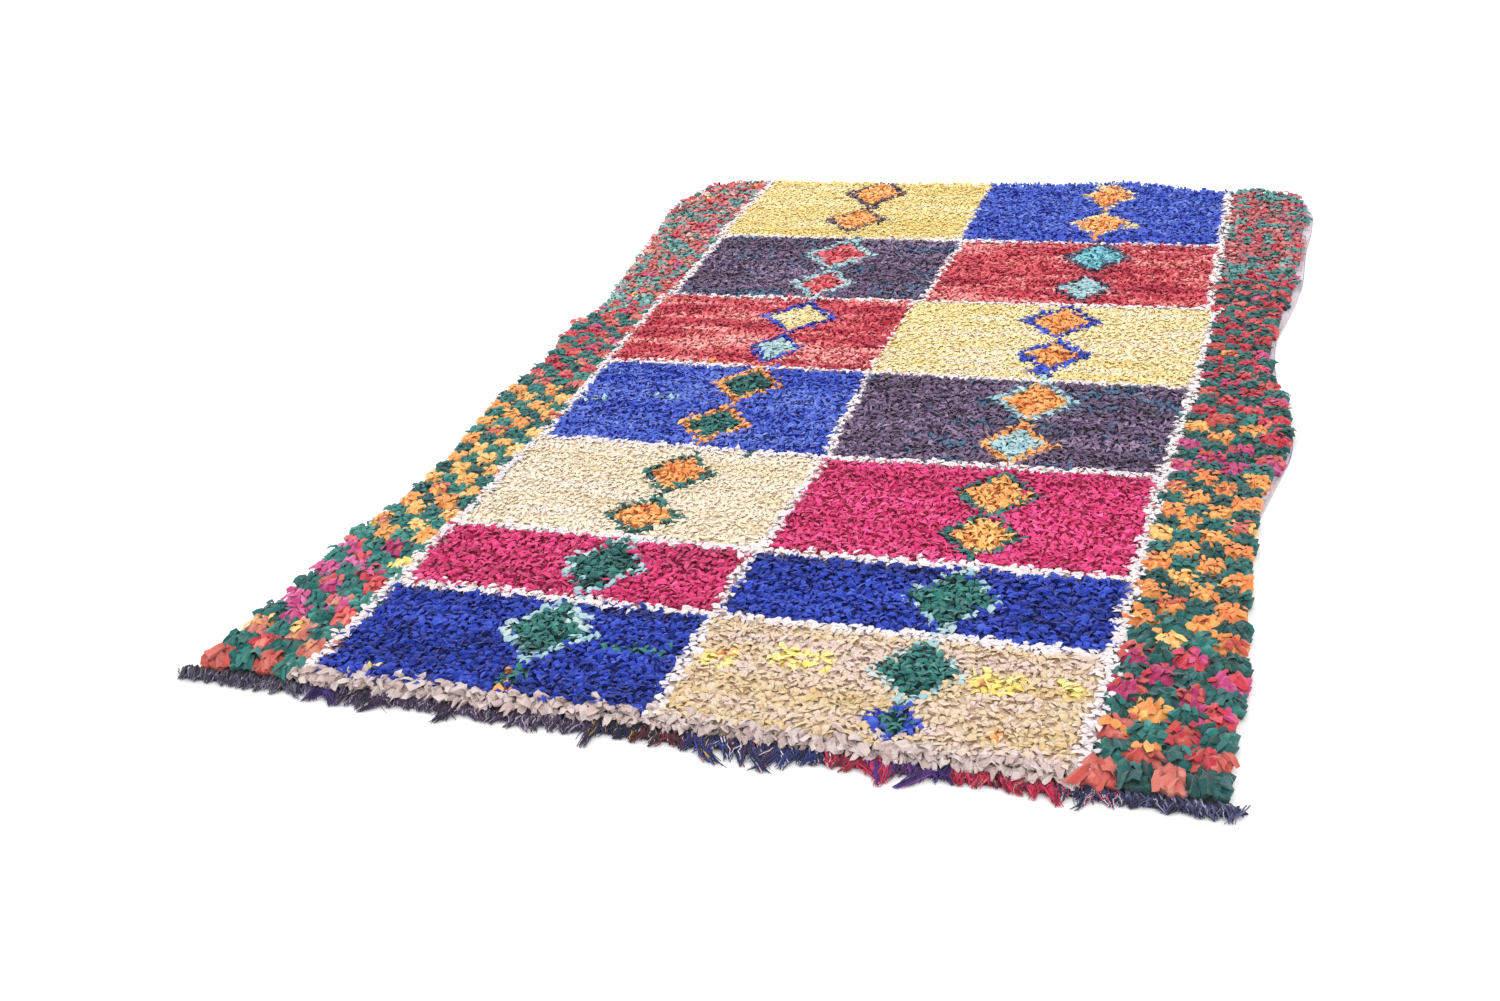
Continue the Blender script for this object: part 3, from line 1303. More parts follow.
@dataclass
class Border:
    """One long border: rows of four checks, green against a warm cloth, and far along only mixed spots.

    Columns of checks count from the rug's outer edge inwards. The check at odd, a column and a row, is lemon.
    """

    outline: Outline
    pattern: FieldPattern
    side: int
    zones: tuple[BorderZone, ...]
    fine_from: float
    lot: float
    odd: tuple[int, int] | None = None
    seed: int = 31
    starts: Array = field(init=False)
    cloths: list[list[Cloth]] = field(init=False)
    checks: list[Check] = field(init=False)

    def __post_init__(self) -> None:
        """Lays out the rows of checks and picks a cloth for each check."""
        rng = np.random.default_rng(self.seed + self.side)
        starts, self.cloths = [0.0], []
        while starts[-1] < 2.36:
            length = float(np.interp(starts[-1], *zip(*CHECK_LENGTHS)))
            fine = starts[-1] + length / 2 > self.fine_from
            length = SPOT_LENGTH if fine else length
            middle = starts[-1] + length / 2
            row, columns = len(self.cloths), 8 if fine else 4
            self.cloths.append([self.pick(column, row, middle, fine, rng) for column in range(columns)])
            starts.append(starts[-1] + length)
        self.starts = np.array(starts)
        self.checks = self.lay_out(np.random.default_rng(self.seed + 10 + self.side))

    def pick(self, column: int, row: int, along: float, fine: bool, rng: Rng) -> Cloth:
        """Picks the cloth of one check: green and warm take turns, and far along they are only mixed.

        Args:
            column: Its column.
            row: Its row.
            along: Its place along.
            fine: Whether it is one of the small far spots.
            rng: Draws the warm cloth.

        Returns:
            The cloth.
        """
        zone = next(z for z in self.zones if along < z.until)
        names = [c for c, _ in zone.cloths]
        shares = np.array([s for _, s in zone.cloths])
        warm = names[rng.choice(len(names), p=shares / shares.sum())]
        if fine:
            return Cloth.FADED_GREEN if rng.random() < 0.42 else warm
        if (column, row) == self.odd:
            return Cloth.LEMON
        return Cloth.EMERALD if (column + row) % 2 == (1 if self.side < 0 else 0) else warm

    def lay_out(self, rng: Rng) -> list[Check]:
        """Places every check, a little off its square as the knots of a real border are.

        Args:
            rng: Draws the offsets, sizes and lots.

        Returns:
            The checks.
        """
        made = []
        for row, cloths in enumerate(self.cloths):
            start, end = self.starts[row], self.starts[row + 1]
            along, fine = (start + end) / 2, len(cloths) > 4
            outer, inner = (float(e[0]) for e in self.span(np.array([along])))
            wide, long = (inner - outer) / len(cloths), end - start
            shift = rng.normal(0, 0.07)
            for column, cloth in enumerate(cloths):
                across = outer + wide * (column + 0.5 + np.clip(shift + rng.normal(0, 0.07), -0.18, 0.18))
                if along > float(self.outline.far_edge(np.array([across]))[0]) - 0.008:
                    continue
                place = along + rng.normal(0, 0.09) * long
                full = 1.06 if cloth is Cloth.EMERALD else 1.0
                half_wide = abs(wide) / 2 * full * rng.uniform(0.96, 1.24)
                half_long = long / 2 * full * rng.uniform(0.96, 1.16)
                lot = rng.normal(self.lot, 0.15)
                made.append(Check(across, place, half_wide, half_long, cloth, lot, fine, row == 0))
        return made

    def span(self, along: Array) -> tuple[Array, Array]:
        """Finds the border's edges.

        Args:
            along: Places along.

        Returns:
            The outer and inner edges there, across.
        """
        left, _, right = self.pattern.edges(np.full_like(along, 0.3 * self.side), along)
        if self.side < 0:
            return self.outline.left_edge(along) + 0.001, left - LINE_GAP
        return self.outline.right_edge(along) - self.outline.shown(along) - 0.001, right + LINE_GAP

    def place(self, across: Array, along: Array) -> tuple[Array, Array]:
        """Finds the check under each place.

        Args:
            across: Places across.
            along: Places along.

        Returns:
            The number of the cloth at each place, and how high on its check's mound it is, from 0 to 1.
        """
        row = np.clip(np.searchsorted(self.starts, along, side="right") - 1, 0, len(self.cloths) - 1)
        outer, inner = self.span(along)
        counts = np.array([len(c) for c in self.cloths])
        share = np.clip((across - outer) / (inner - outer), 0, 0.9999) * counts[row]
        column = share.astype(int)
        table = np.zeros((len(self.cloths), 8), int)
        for number, cloths in enumerate(self.cloths):
            table[number, : len(cloths)] = [cloth.value for cloth in cloths]
        u = 2 * (share - column) - 1
        v = 2 * (along - self.starts[row]) / (self.starts[row + 1] - self.starts[row]) - 1
        mound = (1 - np.abs(u) ** 2.2) * (1 - np.clip(np.abs(v), 0, 1) ** 2.2)
        return table[row, column], np.where(counts[row] > 4, 0.60, mound * 0.6)

    def mounds(self, cloth: Cloth) -> Mounds:
        """The mounds of one cloth."""
        mine = [c for c in self.checks if c.cloth is cloth and not c.fine]
        return Mounds(mine, self.seed + 20 + 3 * cloth.value + self.side)

    def knot(self) -> dict[Cut, RagEnds]:
        """Knots the loose rags of every check.

        Returns:
            The rags for each cut: wide petals at the near edge, then folded flaps, and small tufts far along.
        """
        rng = np.random.default_rng(self.seed + 40 + self.side)
        made: dict[Cut, list[RagEnds]] = {Cut.RUFFLE: [], Cut.FLAP: [], Cut.TUFT: []}
        for check in self.checks:
            if check.fine:
                made[Cut.TUFT].append(self.rags(check, (3, 2), 1.0, rng))
            elif check.along < 0.09:
                made[Cut.RUFFLE].append(self.rags(check, (3, 2), 2.05 if check.first else 1.6, rng))
            elif check.along < 0.40:
                made[Cut.FLAP].append(self.rags(check, (3, 3), 1.15, rng))
            else:
                made[Cut.TUFT].append(self.rags(check, (4, 4), 1.0, rng))
        return {cut: RagEnds.join(several) for cut, several in made.items() if several}

    def rags(self, check: Check, grid: tuple[int, int], size: float, rng: Rng) -> RagEnds:
        """The loose rags of one check, which fan out sideways as they flop towards the near end.

        Args:
            check: The check.
            grid: How many stand across it and along it.
            size: The size of its rags against the usual.
            rng: Draws the rags.

        Returns:
            Its rags.
        """
        u, v = (g.ravel() for g in np.meshgrid(np.arange(grid[0]), np.arange(grid[1]), indexing="ij"))
        count = u.size
        u = (u + 0.5 + 0.20 * (v % 2 * 2 - 1)) / grid[0] * 2 - 1 + rng.normal(0, 0.12, count)
        v = (v + 0.5) / grid[1] * 2 - 1 + rng.normal(0, 0.12, count)
        if not check.fine:
            u, v = u * (0.58 if check.first else 0.82), v * 0.72 + 0.02
        swell = np.clip(1 - 0.5 * (u**2 + v**2), 0, 1)
        high = 0.0080 + 0.0030 * swell if check.fine else 0.0110 + 0.0070 * swell
        rise = 0.0090 if check.fine else 0.0066
        long = 0.0105 if check.fine else 0.0124
        others = PARTNERS.get(check.cloth, (check.cloth,))
        guest = others[rng.integers(len(others))]
        mixed = rng.random(count) < (0.5 if rng.random() < 0.55 and not check.first else 0.0)
        wild = 0.28 if check.first else 0.55 if check.along < 0.3 else 0.85
        return RagEnds(
            root=np.stack([check.across + u * check.wide, check.along + v * check.long + 0.001, high], -1),
            heading=np.radians(-90 + (28 if check.first else 46) * u) + rng.normal(0, wild, count),
            rise=rise * (1 - 0.5 * u**2) * rng.normal(1, 0.14, count),
            length=long * size * rng.lognormal(0, 0.20, count),
            width=0.0098 * size * rng.lognormal(0, 0.22, count),
            level=np.radians(rng.normal(10, 12, count) - 18 * u**2),
            droop=np.radians(rng.normal(44, 14, count)),
            roll=np.radians(rng.normal(0, 20, count)),
            fold=flips(rng, count, 0.3) * rng.uniform(0.12, 0.30, count),
            shade=np.clip(check.lot + rng.normal(0, 0.14, count), 0.02, 0.9),
            cloth=np.where(mixed, guest.value, check.cloth.value),
        )


@dataclass
class NearLine:
    """The line of large pale rags along the near end of the panels, which flop over the wool band."""

    pattern: FieldPattern
    rows: tuple[float, ...] = (0.011, 0.004, -0.003)
    pitch: float = 0.0094
    seed: int = 51

    def knot(self) -> RagEnds:
        """Lays out its flaps: the back row leans left, the middle one right, and the front one lies low.

        Returns:
            The flaps.
        """
        rng = np.random.default_rng(self.seed)
        sets = []
        for number, along in enumerate(self.rows):
            across = np.arange(-0.616, 0.592, self.pitch)
            across = across + rng.normal(0, 0.003, across.size)
            dip = (drift(across, np.zeros_like(across), 0.09, 1.0, 53) - 0.5) * 0.014
            count = across.size
            sets.append(
                RagEnds(
                    root=np.stack([across, along + dip * (1 - number / 3), np.full(count, 0.0070)], -1),
                    heading=np.radians(rng.normal((-125, -55, -90)[number], 48, count)),
                    rise=rng.normal((0.0120, 0.0100, 0.0065)[number], 0.0018, count),
                    length=rng.normal((0.0165, 0.0175, 0.0165)[number], 0.0038, count),
                    width=rng.normal(0.0172, 0.0036, count),
                    level=np.radians(rng.normal((20, 10, 2)[number], 14, count)),
                    droop=np.radians(rng.normal((44, 40, 30)[number], 14, count)),
                    roll=np.radians(rng.normal(0, 36, count)),
                    fold=rng.choice([-1, 1], count) * rng.uniform(0.12, 0.30, count),
                    shade=rng.uniform(0.0, 0.70, count),
                    cloth=np.full(count, Cloth.BLUSH.value),
                )
            )
        return RagEnds.join(sets)


@dataclass
class GroundCloth:
    """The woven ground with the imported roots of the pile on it, one closed sheet."""

    outline: Outline
    pattern: FieldPattern
    borders: tuple[Border, Border]
    cell: float = 0.0150
    under_step: int = 4
    under: float = 0.0005
    over: float = 0.0040

    def relief(self, across: Array, along: Array) -> tuple[Array, Array]:
        """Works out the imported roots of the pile.

        Args:
            across: Places across.
            along: Places along.

        Returns:
            How far they stand above the weave at each place, and the number of their cloth.
        """
        chance = np.random.default_rng(62).random(across.shape)
        cloths = self.pattern.cloth_at(across, along, chance)
        left, _, right = self.pattern.edges(across, along)
        high = 0.0082 + (drift(across, along, 0.026, 0.020, 63) - 0.5) * 0.0040
        high = np.where(np.isin(cloths, SMOOTH), 0.0118 + (high - 0.0082) * 0.5, high)
        sides = (across < left - LINE_GAP, across > right + LINE_GAP)
        for border, inside in zip(self.borders, sides, strict=True):
            found, mound = border.place(across, along)
            cloths = np.where(inside, found, cloths)
            high = np.where(inside, 0.0040 + 0.0060 * mound, high)
        outer_left = self.outline.left_edge(along)
        outer_right = self.outline.right_edge(along) - self.outline.shown(along)
        away = [across - outer_left, outer_right - across, self.outline.far_edge(across) - along]
        rim = np.clip((np.min(away, axis=0) - 0.008) / 0.014, 0, 1)
        rim = np.minimum(rim, np.clip((along + 0.002) / 0.010, 0, 1))
        return high * rim * rim * (3 - 2 * rim), cloths

    def knot_colours(self, across: Array, along: Array, cloths: Array) -> Array:
        """Gives each point the colour of the knots there, or of the bare cloth beside the pile.

        Args:
            across: Places across.
            along: Places along.
            cloths: The number of the cloth at each place.

        Returns:
            Linear colours, (..., 4).
        """
        palette = [linear(RAGS[cloth].root_colour) for cloth in Cloth]
        palette = np.array([*palette, linear("#86685C"), linear("#CFC6D0")])
        edge, strip = self.outline.right_edge(along), self.outline.shown(along)
        bare = (across > edge - 0.016) & (along < 0.14)
        pale = (across > edge - strip - 0.002) & (strip > 0.002)
        return palette[np.where(bare, len(palette) - 2, np.where(pale, len(palette) - 1, cloths))]

    def build(self) -> Object:
        """Builds the sheet, with the colour of the knots at each point and a coarser underside.

        Returns:
            The cloth.
        """
        step = self.under_step
        columns, rows = (round(size / self.cell / step) * step for size in (1.58, 2.35))
        u, v = np.meshgrid(np.linspace(0, 1, columns + 1), np.linspace(0, 1, rows + 1), indexing="ij")
        guess = -0.002 + v * 2.342
        left, right = self.outline.left_edge(guess) + 0.006, self.outline.right_edge(guess) - 0.002
        across = left + (right - left) * u
        far = self.outline.far_edge(across) - 0.006
        along = self.outline.near + (far - self.outline.near) * v
        weave = drift(across, along, 0.020, 0.012, 61) * 0.0012
        high, cloths = self.relief(across, along)
        top = np.stack([across, along, self.over + weave + high], -1)
        low = np.stack([across, along, self.under + weave * 0.35], -1)[::step, ::step]
        order = np.arange(top[..., 0].size).reshape(top.shape[:2])
        below = order.size + np.arange(low[..., 0].size).reshape(low.shape[:2])
        quads, under = grid_faces(order), grid_faces(below)
        ring, low_ring = grid_rim(order), grid_rim(below)
        edge = np.concatenate([ring, ring[:1]])
        upper = np.stack([edge[k : k + len(ring) : step] for k in range(step + 1)], -1)
        walls = np.concatenate([upper[:, ::-1], low_ring[:, None], np.roll(low_ring, -1)[:, None]], -1)
        flat = np.stack([u, v], -1) * [0.48, 0.96] + 0.005
        flat = np.concatenate([flat.reshape(-1, 2), flat[::step, ::step].reshape(-1, 2) + [0.5, 0.0]])
        slot = np.linspace(0.01, 0.98, len(walls))[:, None]
        corner = np.concatenate([np.linspace(1, 0, step + 1), [0, 1]]) * (0.8 * 0.97 / len(walls))
        upright = np.broadcast_to([0.99] * (step + 1) + [0.98] * 2, walls.shape)
        wall_chart = np.stack([slot + corner, upright], -1)
        knots = self.knot_colours(across, along, cloths)
        knots = np.concatenate([knots.reshape(-1, 4), knots[::step, ::step].reshape(-1, 4)])
        cover = np.concatenate([np.full(order.size, 0.97), np.zeros(below.size)])
        made = make_mesh(
            "ground_cloth",
            np.concatenate([top.reshape(-1, 3), low.reshape(-1, 3)]),
            [quads, under[:, ::-1], walls],
            [flat[quads], flat[under[:, ::-1]], wall_chart],
            {"knots": knots, "cover": cover},
            GroundFinish().make(),
            60.0,
        )
        return made


@dataclass
class Dresser:
    """Makes one piece of each cloth in a place, and remembers them."""

    materials: dict[Cloth, Material] = field(default_factory=dict)
    pieces: list[Object] = field(default_factory=list)
    pressed_from: float = 0.0300
    pressed_share: float = 0.35
    lowest: float = 0.0008

    def material(self, cloth: Cloth) -> Material:
        """The cloth's material, made once."""
        if cloth not in self.materials:
            self.materials[cloth] = RAGS[cloth].make()
        return self.materials[cloth]

    def settle(self, height: Array) -> Array:
        """Presses the pile down as wear does, so that little stands above its usual top.

        Args:
            height: Heights of points.

        Returns:
            The heights that they are pressed to.
        """
        top = self.pressed_from
        pressed = np.where(height > top, top + (height - top) * self.pressed_share, height)
        return np.maximum(pressed, self.lowest)

    def keep(self, made: Object, what: str) -> None:
        """Puts a piece in the pile's slot, remembers it and logs what it is made of."""
        self.pieces.append(made)
        LOG.info("%s: %s, %d faces", made.name, what, len(made.data.polygons))

    def make(self, name: str, ends: RagEnds, rings: int, cut: Cut, cloth: Cloth, seed: int) -> None:
        """Makes one piece from rag ends of one cloth.

        Args:
            name: The piece's name.
            ends: Its rag ends.
            rings: Rings along each.
            cut: Their cross-section.
            cloth: Their cloth.
            seed: Draws the crumples.
        """
        if not len(ends.length):
            return
        rng = np.random.default_rng(seed)
        points, tips = ends.rings(rings, cut, rng), None
        points[..., 2] = self.settle(points[..., 2])
        if cut is Cut.TUFT:
            share = rng.uniform(0.1, 0.9, (len(points), 1))
            points, tips = points[:, :-1], points[:, -1, 0] * share + points[:, -1, -1] * (1 - share)
        made = make_strips(name, points, ends.shade, self.material(cloth), cut.crease, tips)
        self.keep(made, f"{len(ends.length)} rag ends")

    def heap(self, name: str, mounds: Mounds, cloth: Cloth) -> None:
        """Makes one piece from mounds of one cloth.

        Args:
            name: The piece's name.
            mounds: Its mounds.
            cloth: Their cloth.
        """
        if not mounds.checks:
            return
        top, shade, rise = mounds.surface()
        top[..., 2] = self.settle(top[..., 2])
        made = make_mounds(name, top, shade, rise, self.material(cloth))
        self.keep(made, f"{len(top)} mounds")


# Rag ends nearer than this have one more ring
DETAIL_UNTIL = 0.50


def build_pile(outline: Outline, pattern: FieldPattern, dresser: Dresser) -> None:
    """Builds the field, a piece for each panel and one for each cloth of the lines and motifs.

    Args:
        outline: The rug's outline.
        pattern: The panels and motifs.
        dresser: Makes and keeps the pieces.
    """
    ends = Pile(outline, pattern).knot()
    across, along = ends.root[:, 0], ends.root[:, 1]
    index, column = pattern.row_of(across, along), pattern.column_of(across, along)
    near = along < DETAIL_UNTIL
    for number, row in enumerate(pattern.rows):
        for side, cloth in enumerate(row.cloths):
            mine = (index == number) & (column == side) & (ends.cloth == cloth.value)
            name = f"panel_{row.name}_{('left', 'right')[side]}"
            for reach, rings, here in (("", 4, near), ("_far", 3, ~near)):
                seed = 100 + number * 2 + side
                dresser.make(name + reach, ends.pick(mine & here), rings, Cut.TUFT, cloth, seed)
    motif = ends.cloth != pattern.plain_at(across, along)
    for cloth in Cloth:
        for reach, rings, here in (("near", 4, near), ("far", 3, ~near)):
            mine = motif & here & (ends.cloth == cloth.value)
            what = "white_lines" if cloth is Cloth.WHITE else f"motifs_{cloth.name.lower()}"
            dresser.make(f"{what}_{reach}", ends.pick(mine), rings, Cut.TUFT, cloth, 140 + cloth.value)


def lay_borders(outline: Outline, pattern: FieldPattern) -> tuple[Border, Border]:
    """Lays out both borders.

    Args:
        outline: The rug's outline.
        pattern: The panels, which the borders stand beside.

    Returns:
        The left border and the right one.
    """
    left = (
        BorderZone(0.15, ((Cloth.CORAL, 0.8), (Cloth.CRIMSON, 0.2))),
        BorderZone(0.40, ((Cloth.MAGENTA, 0.75), (Cloth.CRIMSON, 0.25))),
        BorderZone(1.02, ((Cloth.GOLD, 0.9), (Cloth.ORANGE, 0.1))),
        BorderZone(1.56, ((Cloth.CRIMSON, 0.7), (Cloth.CORAL, 0.3))),
        BorderZone(9.0, ((Cloth.FADED_RED, 0.6), (Cloth.CRIMSON, 0.25), (Cloth.CORAL, 0.15))),
    )
    right = (
        BorderZone(0.12, ((Cloth.CORAL, 1.0),)),
        BorderZone(0.18, ((Cloth.GOLD, 0.5), (Cloth.CRIMSON, 0.5))),
        BorderZone(0.32, ((Cloth.MAGENTA, 0.85), (Cloth.CRIMSON, 0.15))),
        BorderZone(0.82, ((Cloth.GOLD, 0.75), (Cloth.ORANGE, 0.25))),
        BorderZone(0.96, ((Cloth.MAGENTA, 1.0),)),
        BorderZone(1.04, ((Cloth.GOLD, 0.8), (Cloth.CRIMSON, 0.2))),
        BorderZone(1.74, ((Cloth.CRIMSON, 0.75), (Cloth.CORAL, 0.25))),
        BorderZone(9.0, ((Cloth.FADED_RED, 0.8), (Cloth.CRIMSON, 0.2))),
    )
    return (
        Border(outline, pattern, -1, left, fine_from=1.40, lot=0.46, odd=(3, 7)),
        Border(outline, pattern, 1, right, fine_from=1.70, lot=0.23),
    )


def build_borders(borders: tuple[Border, Border], dresser: Dresser) -> None:
    """Builds both borders: a piece of mounds for each cloth, and one for each cloth and cut of loose rag.

    Args:
        borders: The left and right borders.
        dresser: Makes and keeps the pieces.
    """
    for name, border in zip(("left", "right"), borders, strict=True):
        for cloth in Cloth:
            dresser.heap(f"{name}_border_{cloth.name.lower()}_mounds", border.mounds(cloth), cloth)
        for cut, ends in border.knot().items():
            for cloth in Cloth:
                mine = ends.pick(ends.cloth == cloth.value)
                what = f"{name}_border_{cloth.name.lower()}_{cut.value}"
                dresser.make(what, mine, 5 if cut is Cut.RUFFLE else 4, cut, cloth, 200 + cloth.value)


@dataclass(frozen=True)
class YarnZone:
    """A stretch of the end band and fringe that was tied off with the same leftover yarns."""

    until: float
    name: str
    yarns: Stops


YARN_ZONES = (
    YarnZone(-0.575, "charcoal_wool",
             ((0.0, "#2E293A"), (0.32, "#49435A"), (0.62, "#6A637C"), (0.83, "#A8A1B6"))),
    YarnZone(-0.526, "purple_wool", ((0.0, "#2A1150"), (0.5, "#3B1A70"), (0.85, "#5A3398"))),
    YarnZone(-0.105, "aubergine_wool",
             ((0.0, "#2C1C36"), (0.33, "#45305A"), (0.60, "#604A6C"), (0.80, "#B9B0C0"))),
    YarnZone(-0.030, "navy_and_yellow_yarn",
             ((0.0, "#16193C"), (0.4, "#27236B"), (0.66, "#43202A"), (0.85, "#C9A040"))),
    YarnZone(0.040, "maroon_wool", ((0.0, "#2C121B"), (0.35, "#571A28"), (0.7, "#7E2736"), (0.9, "#C9BDC6"))),
    YarnZone(0.095, "blue_and_yellow_yarn",
             ((0.0, "#171D48"), (0.5, "#292F86"), (0.78, "#D0A640"), (0.88, "#E4E0EC"))),
    YarnZone(0.180, "navy_yarn", ((0.0, "#15183A"), (0.42, "#29306E"), (0.7, "#7E1F3A"), (0.86, "#DAD6E4"))),
    YarnZone(0.245, "blue_yarn", ((0.0, "#181C44"), (0.5, "#23307A"), (0.88, "#CFCDDE"))),
    YarnZone(0.302, "red_wool", ((0.0, "#6E1630"), (0.4, "#B81E44"), (0.8, "#D03E5C"), (0.95, "#D8D0D6"))),
    YarnZone(0.351, "red_and_purple_wool", ((0.0, "#442180"), (0.33, "#8C1C48"), (0.6, "#C82850"))),
    YarnZone(0.424, "violet_wool", ((0.0, "#2C1854"), (0.45, "#4C267C"), (0.80, "#843C88"))),
    YarnZone(0.559, "crimson_wool",
             ((0.0, "#721732"), (0.35, "#BC1F48"), (0.75, "#D64064"), (0.92, "#B79A7C"))),
    YarnZone(0.644, "navy_and_pink_yarn",
             ((0.0, "#1B2046"), (0.4, "#323A68"), (0.62, "#B84866"), (0.84, "#DCD4DE"))),
    YarnZone(9.0, "navy_wool", ((0.0, "#1E1F3C"), (0.35, "#33365A"), (0.60, "#535880"), (0.84, "#A4A2C0"))),
)


def facets(around: int) -> Array:
    """The angles of a ring of points, turned by half a step so that it lies on a flat."""
    return np.pi / around + 2 * np.pi * np.arange(around) / around


def tubes(paths: Array, radius: Array, sides: int) -> Array:
    """Lays rings round each path, thinner at its tip.

    Args:
        paths: Points along each path, (paths, points, 3).
        radius: Each path's radius.
        sides: Points in a ring.

    Returns:
        The rings, (paths, points, sides, 3).
    """
    ahead = np.gradient(paths, axis=1)
    ahead /= np.linalg.norm(ahead, axis=-1, keepdims=True)
    side = np.cross(ahead, [0.0, 0.0, 1.0])
    side /= np.maximum(np.linalg.norm(side, axis=-1, keepdims=True), 1e-6)
    up = np.cross(side, ahead)
    t = np.linspace(0, 1, paths.shape[1])
    size = radius[:, None] * (1.0 - 0.6 * t[None] ** 3)
    angle = 2 * np.pi * np.arange(sides)[None, None, :, None] / sides
    ring = side[:, :, None] * np.cos(angle) + up[:, :, None] * np.sin(angle)
    return paths[:, :, None] + ring * size[:, :, None, None]


@dataclass
class EndBand:
    """The wool band at the near end, its rolled corner and the fringe that grows out of it."""

    rows: Table = (
        (-0.822, -0.016, -0.026, 0.0050), (-0.813, -0.009, -0.034, 0.0095), (-0.790, -0.007, -0.035, 0.0100),
        (-0.770, -0.0023, -0.031, 0.0046), (0.764, -0.0023, -0.028, 0.0046), (0.780, -0.009, -0.026, 0.0062),
        (0.799, -0.013, -0.016, 0.0030),
    )  # fmt: skip
    tips: Table = (
        (-0.822, -0.038), (-0.600, -0.046), (-0.550, -0.055), (-0.490, -0.048), (-0.460, -0.071),
        (-0.435, -0.040), (-0.362, -0.038), (-0.340, -0.071), (-0.318, -0.038), (-0.205, -0.051),
        (-0.120, -0.040), (-0.093, -0.069), (-0.070, -0.036), (0.000, -0.046), (0.030, -0.036),
        (0.065, -0.068), (0.100, -0.052), (0.165, -0.072), (0.240, -0.036), (0.300, -0.046), (0.338, -0.067),
        (0.362, -0.036), (0.392, -0.060), (0.425, -0.038), (0.520, -0.042), (0.552, -0.057), (0.575, -0.038),
        (0.603, -0.055), (0.635, -0.035), (0.770, -0.040),
    )  # fmt: skip
    strand_radius: float = 0.00125
    core_steps: int = 420
    locks: int = 72
    lock_strands: int = 21
    seed: int = 71
    pieces: list[Object] = field(default_factory=list)

    def edge(self, across: Array, which: int) -> Array:
        """The band's back (1), front (2) or thickness (3) at a place across."""
        table = np.array(self.rows)
        return np.interp(across, table[:, 0], table[:, which])

    def core(self) -> Object:
        """Builds the band itself, a closed strip with ribs.

        Returns:
            The strip.
        """
        across = np.linspace(self.rows[0][0], self.rows[-1][0], self.core_steps)
        back, front, thick = (self.edge(across, which) for which in (1, 2, 3))
        angle = facets(8)
        swell = 1.0 + 0.10 * np.sin(across * 2 * np.pi / 0.011)
        middle, half = (back + front) / 2, (back - front) / 2 - 0.0004
        y = middle[:, None] + half[:, None] * np.clip(np.cos(angle) * 1.2, -1, 1)[None]
        z = thick[:, None] / 2 + (thick[:, None] / 2 - 0.0003) * np.clip(np.sin(angle) * 1.2, -1, 1)[None]
        z = z * np.where(np.sin(angle) > 0, swell[:, None], 1.0)
        ring = np.stack([np.broadcast_to(across[:, None], y.shape), y, z], -1)[None]
        wool = YarnFinish("end_band_wool", YARN_ZONES[0].yarns).make()
        return make_strips("end_band", ring, np.array([0.3]), wool, 70.0)

    def strands(self, across: Array, rng: Rng) -> tuple[Array, Array]:
        """Lays out the fringe: a short ragged mat all along the band, and longer locks that reach its tips.

        Args:
            across: Where each lock grows.
            rng: Draws the strands.

        Returns:
            Points along each strand, (strands, points, 3), and where each grows.
        """
        each, mat = self.lock_strands, np.arange(-0.815, 0.785, 0.0030)
        middle = np.concatenate([np.repeat(across, each), mat + rng.normal(0, 0.002, mat.size)])
        long = np.arange(middle.size) < across.size * each
        root = middle + rng.normal(0, 0.0085, middle.size) * long
        start = self.edge(root, 2) + 0.008
        reach = np.interp(middle, *zip(*self.tips))
        share = np.where(long, rng.uniform(0.62, 1.03, root.size), rng.uniform(0.35, 0.70, root.size))
        length = (start - reach) * share
        lean = np.repeat(rng.normal(0, 0.30, across.size), each)
        lean = np.concatenate([lean, rng.normal(0, 0.45, mat.size)])
        lean += rng.normal(0, 0.10, root.size)
        t = np.linspace(0, 1, 5)
        lock = np.repeat(np.arange(across.size), each)
        lock = np.concatenate([lock, across.size + np.arange(mat.size) // 5])
        phase = rng.random((lock.max() + 1, 1))[lock] + rng.normal(0, 0.10, (root.size, 1))
        curl = rng.normal(0, 0.011, (lock.max() + 1, 1))[lock] * (length / 0.03)[:, None]
        wave = np.sin(2 * np.pi * (t[None] * rng.uniform(0.8, 1.7, (root.size, 1)) + phase))
        x = root[:, None] + (middle - root)[:, None] * 0.85 * t + length[:, None] * lean[:, None] * t
        x = x + wave * 0.0031 * np.sqrt(t) + curl * t**2
        y = start[:, None] - length[:, None] * t
        high = rng.uniform(0.0030, 0.0085, (root.size, 1))
        z = 0.0016 + high * (1 - t) ** 0.7 + rng.uniform(0, 0.0042, (root.size, 1)) * np.sin(np.pi * t) ** 2
        z = z + np.abs(np.roll(wave, 1, 0)) * 0.0016
        return np.stack([x, y, z], -1), root

    def loops(self, rng: Rng) -> tuple[Array, Array]:
        """Lays out short slanting yarns that wrap the band, so that it looks rolled and knotted.

        Args:
            rng: Draws the yarns.

        Returns:
            Points along each yarn, (yarns, points, 3), and where each lies.
        """
        across = np.arange(-0.818, 0.790, 0.0023)
        across = across + rng.normal(0, 0.0014, across.size)
        back, front, thick = (self.edge(across, which) for which in (1, 2, 3))
        t = np.linspace(0, 1, 5)
        slant = rng.normal(0.010, 0.006, across.size)
        x = across[:, None] + slant[:, None] * (t - 0.5)
        over = rng.uniform(-0.002, 0.007, across.size)
        under = rng.uniform(-0.001, 0.006, across.size)
        y = (back - under)[:, None] + (front - back - over + under)[:, None] * t
        z = (thick + 0.0010)[:, None] * (0.50 + 0.75 * np.sin(np.pi * (0.12 + 0.80 * t)))
        z += rng.uniform(0, 0.0030, (across.size, 1))
        return np.stack([x, y, z], -1), across

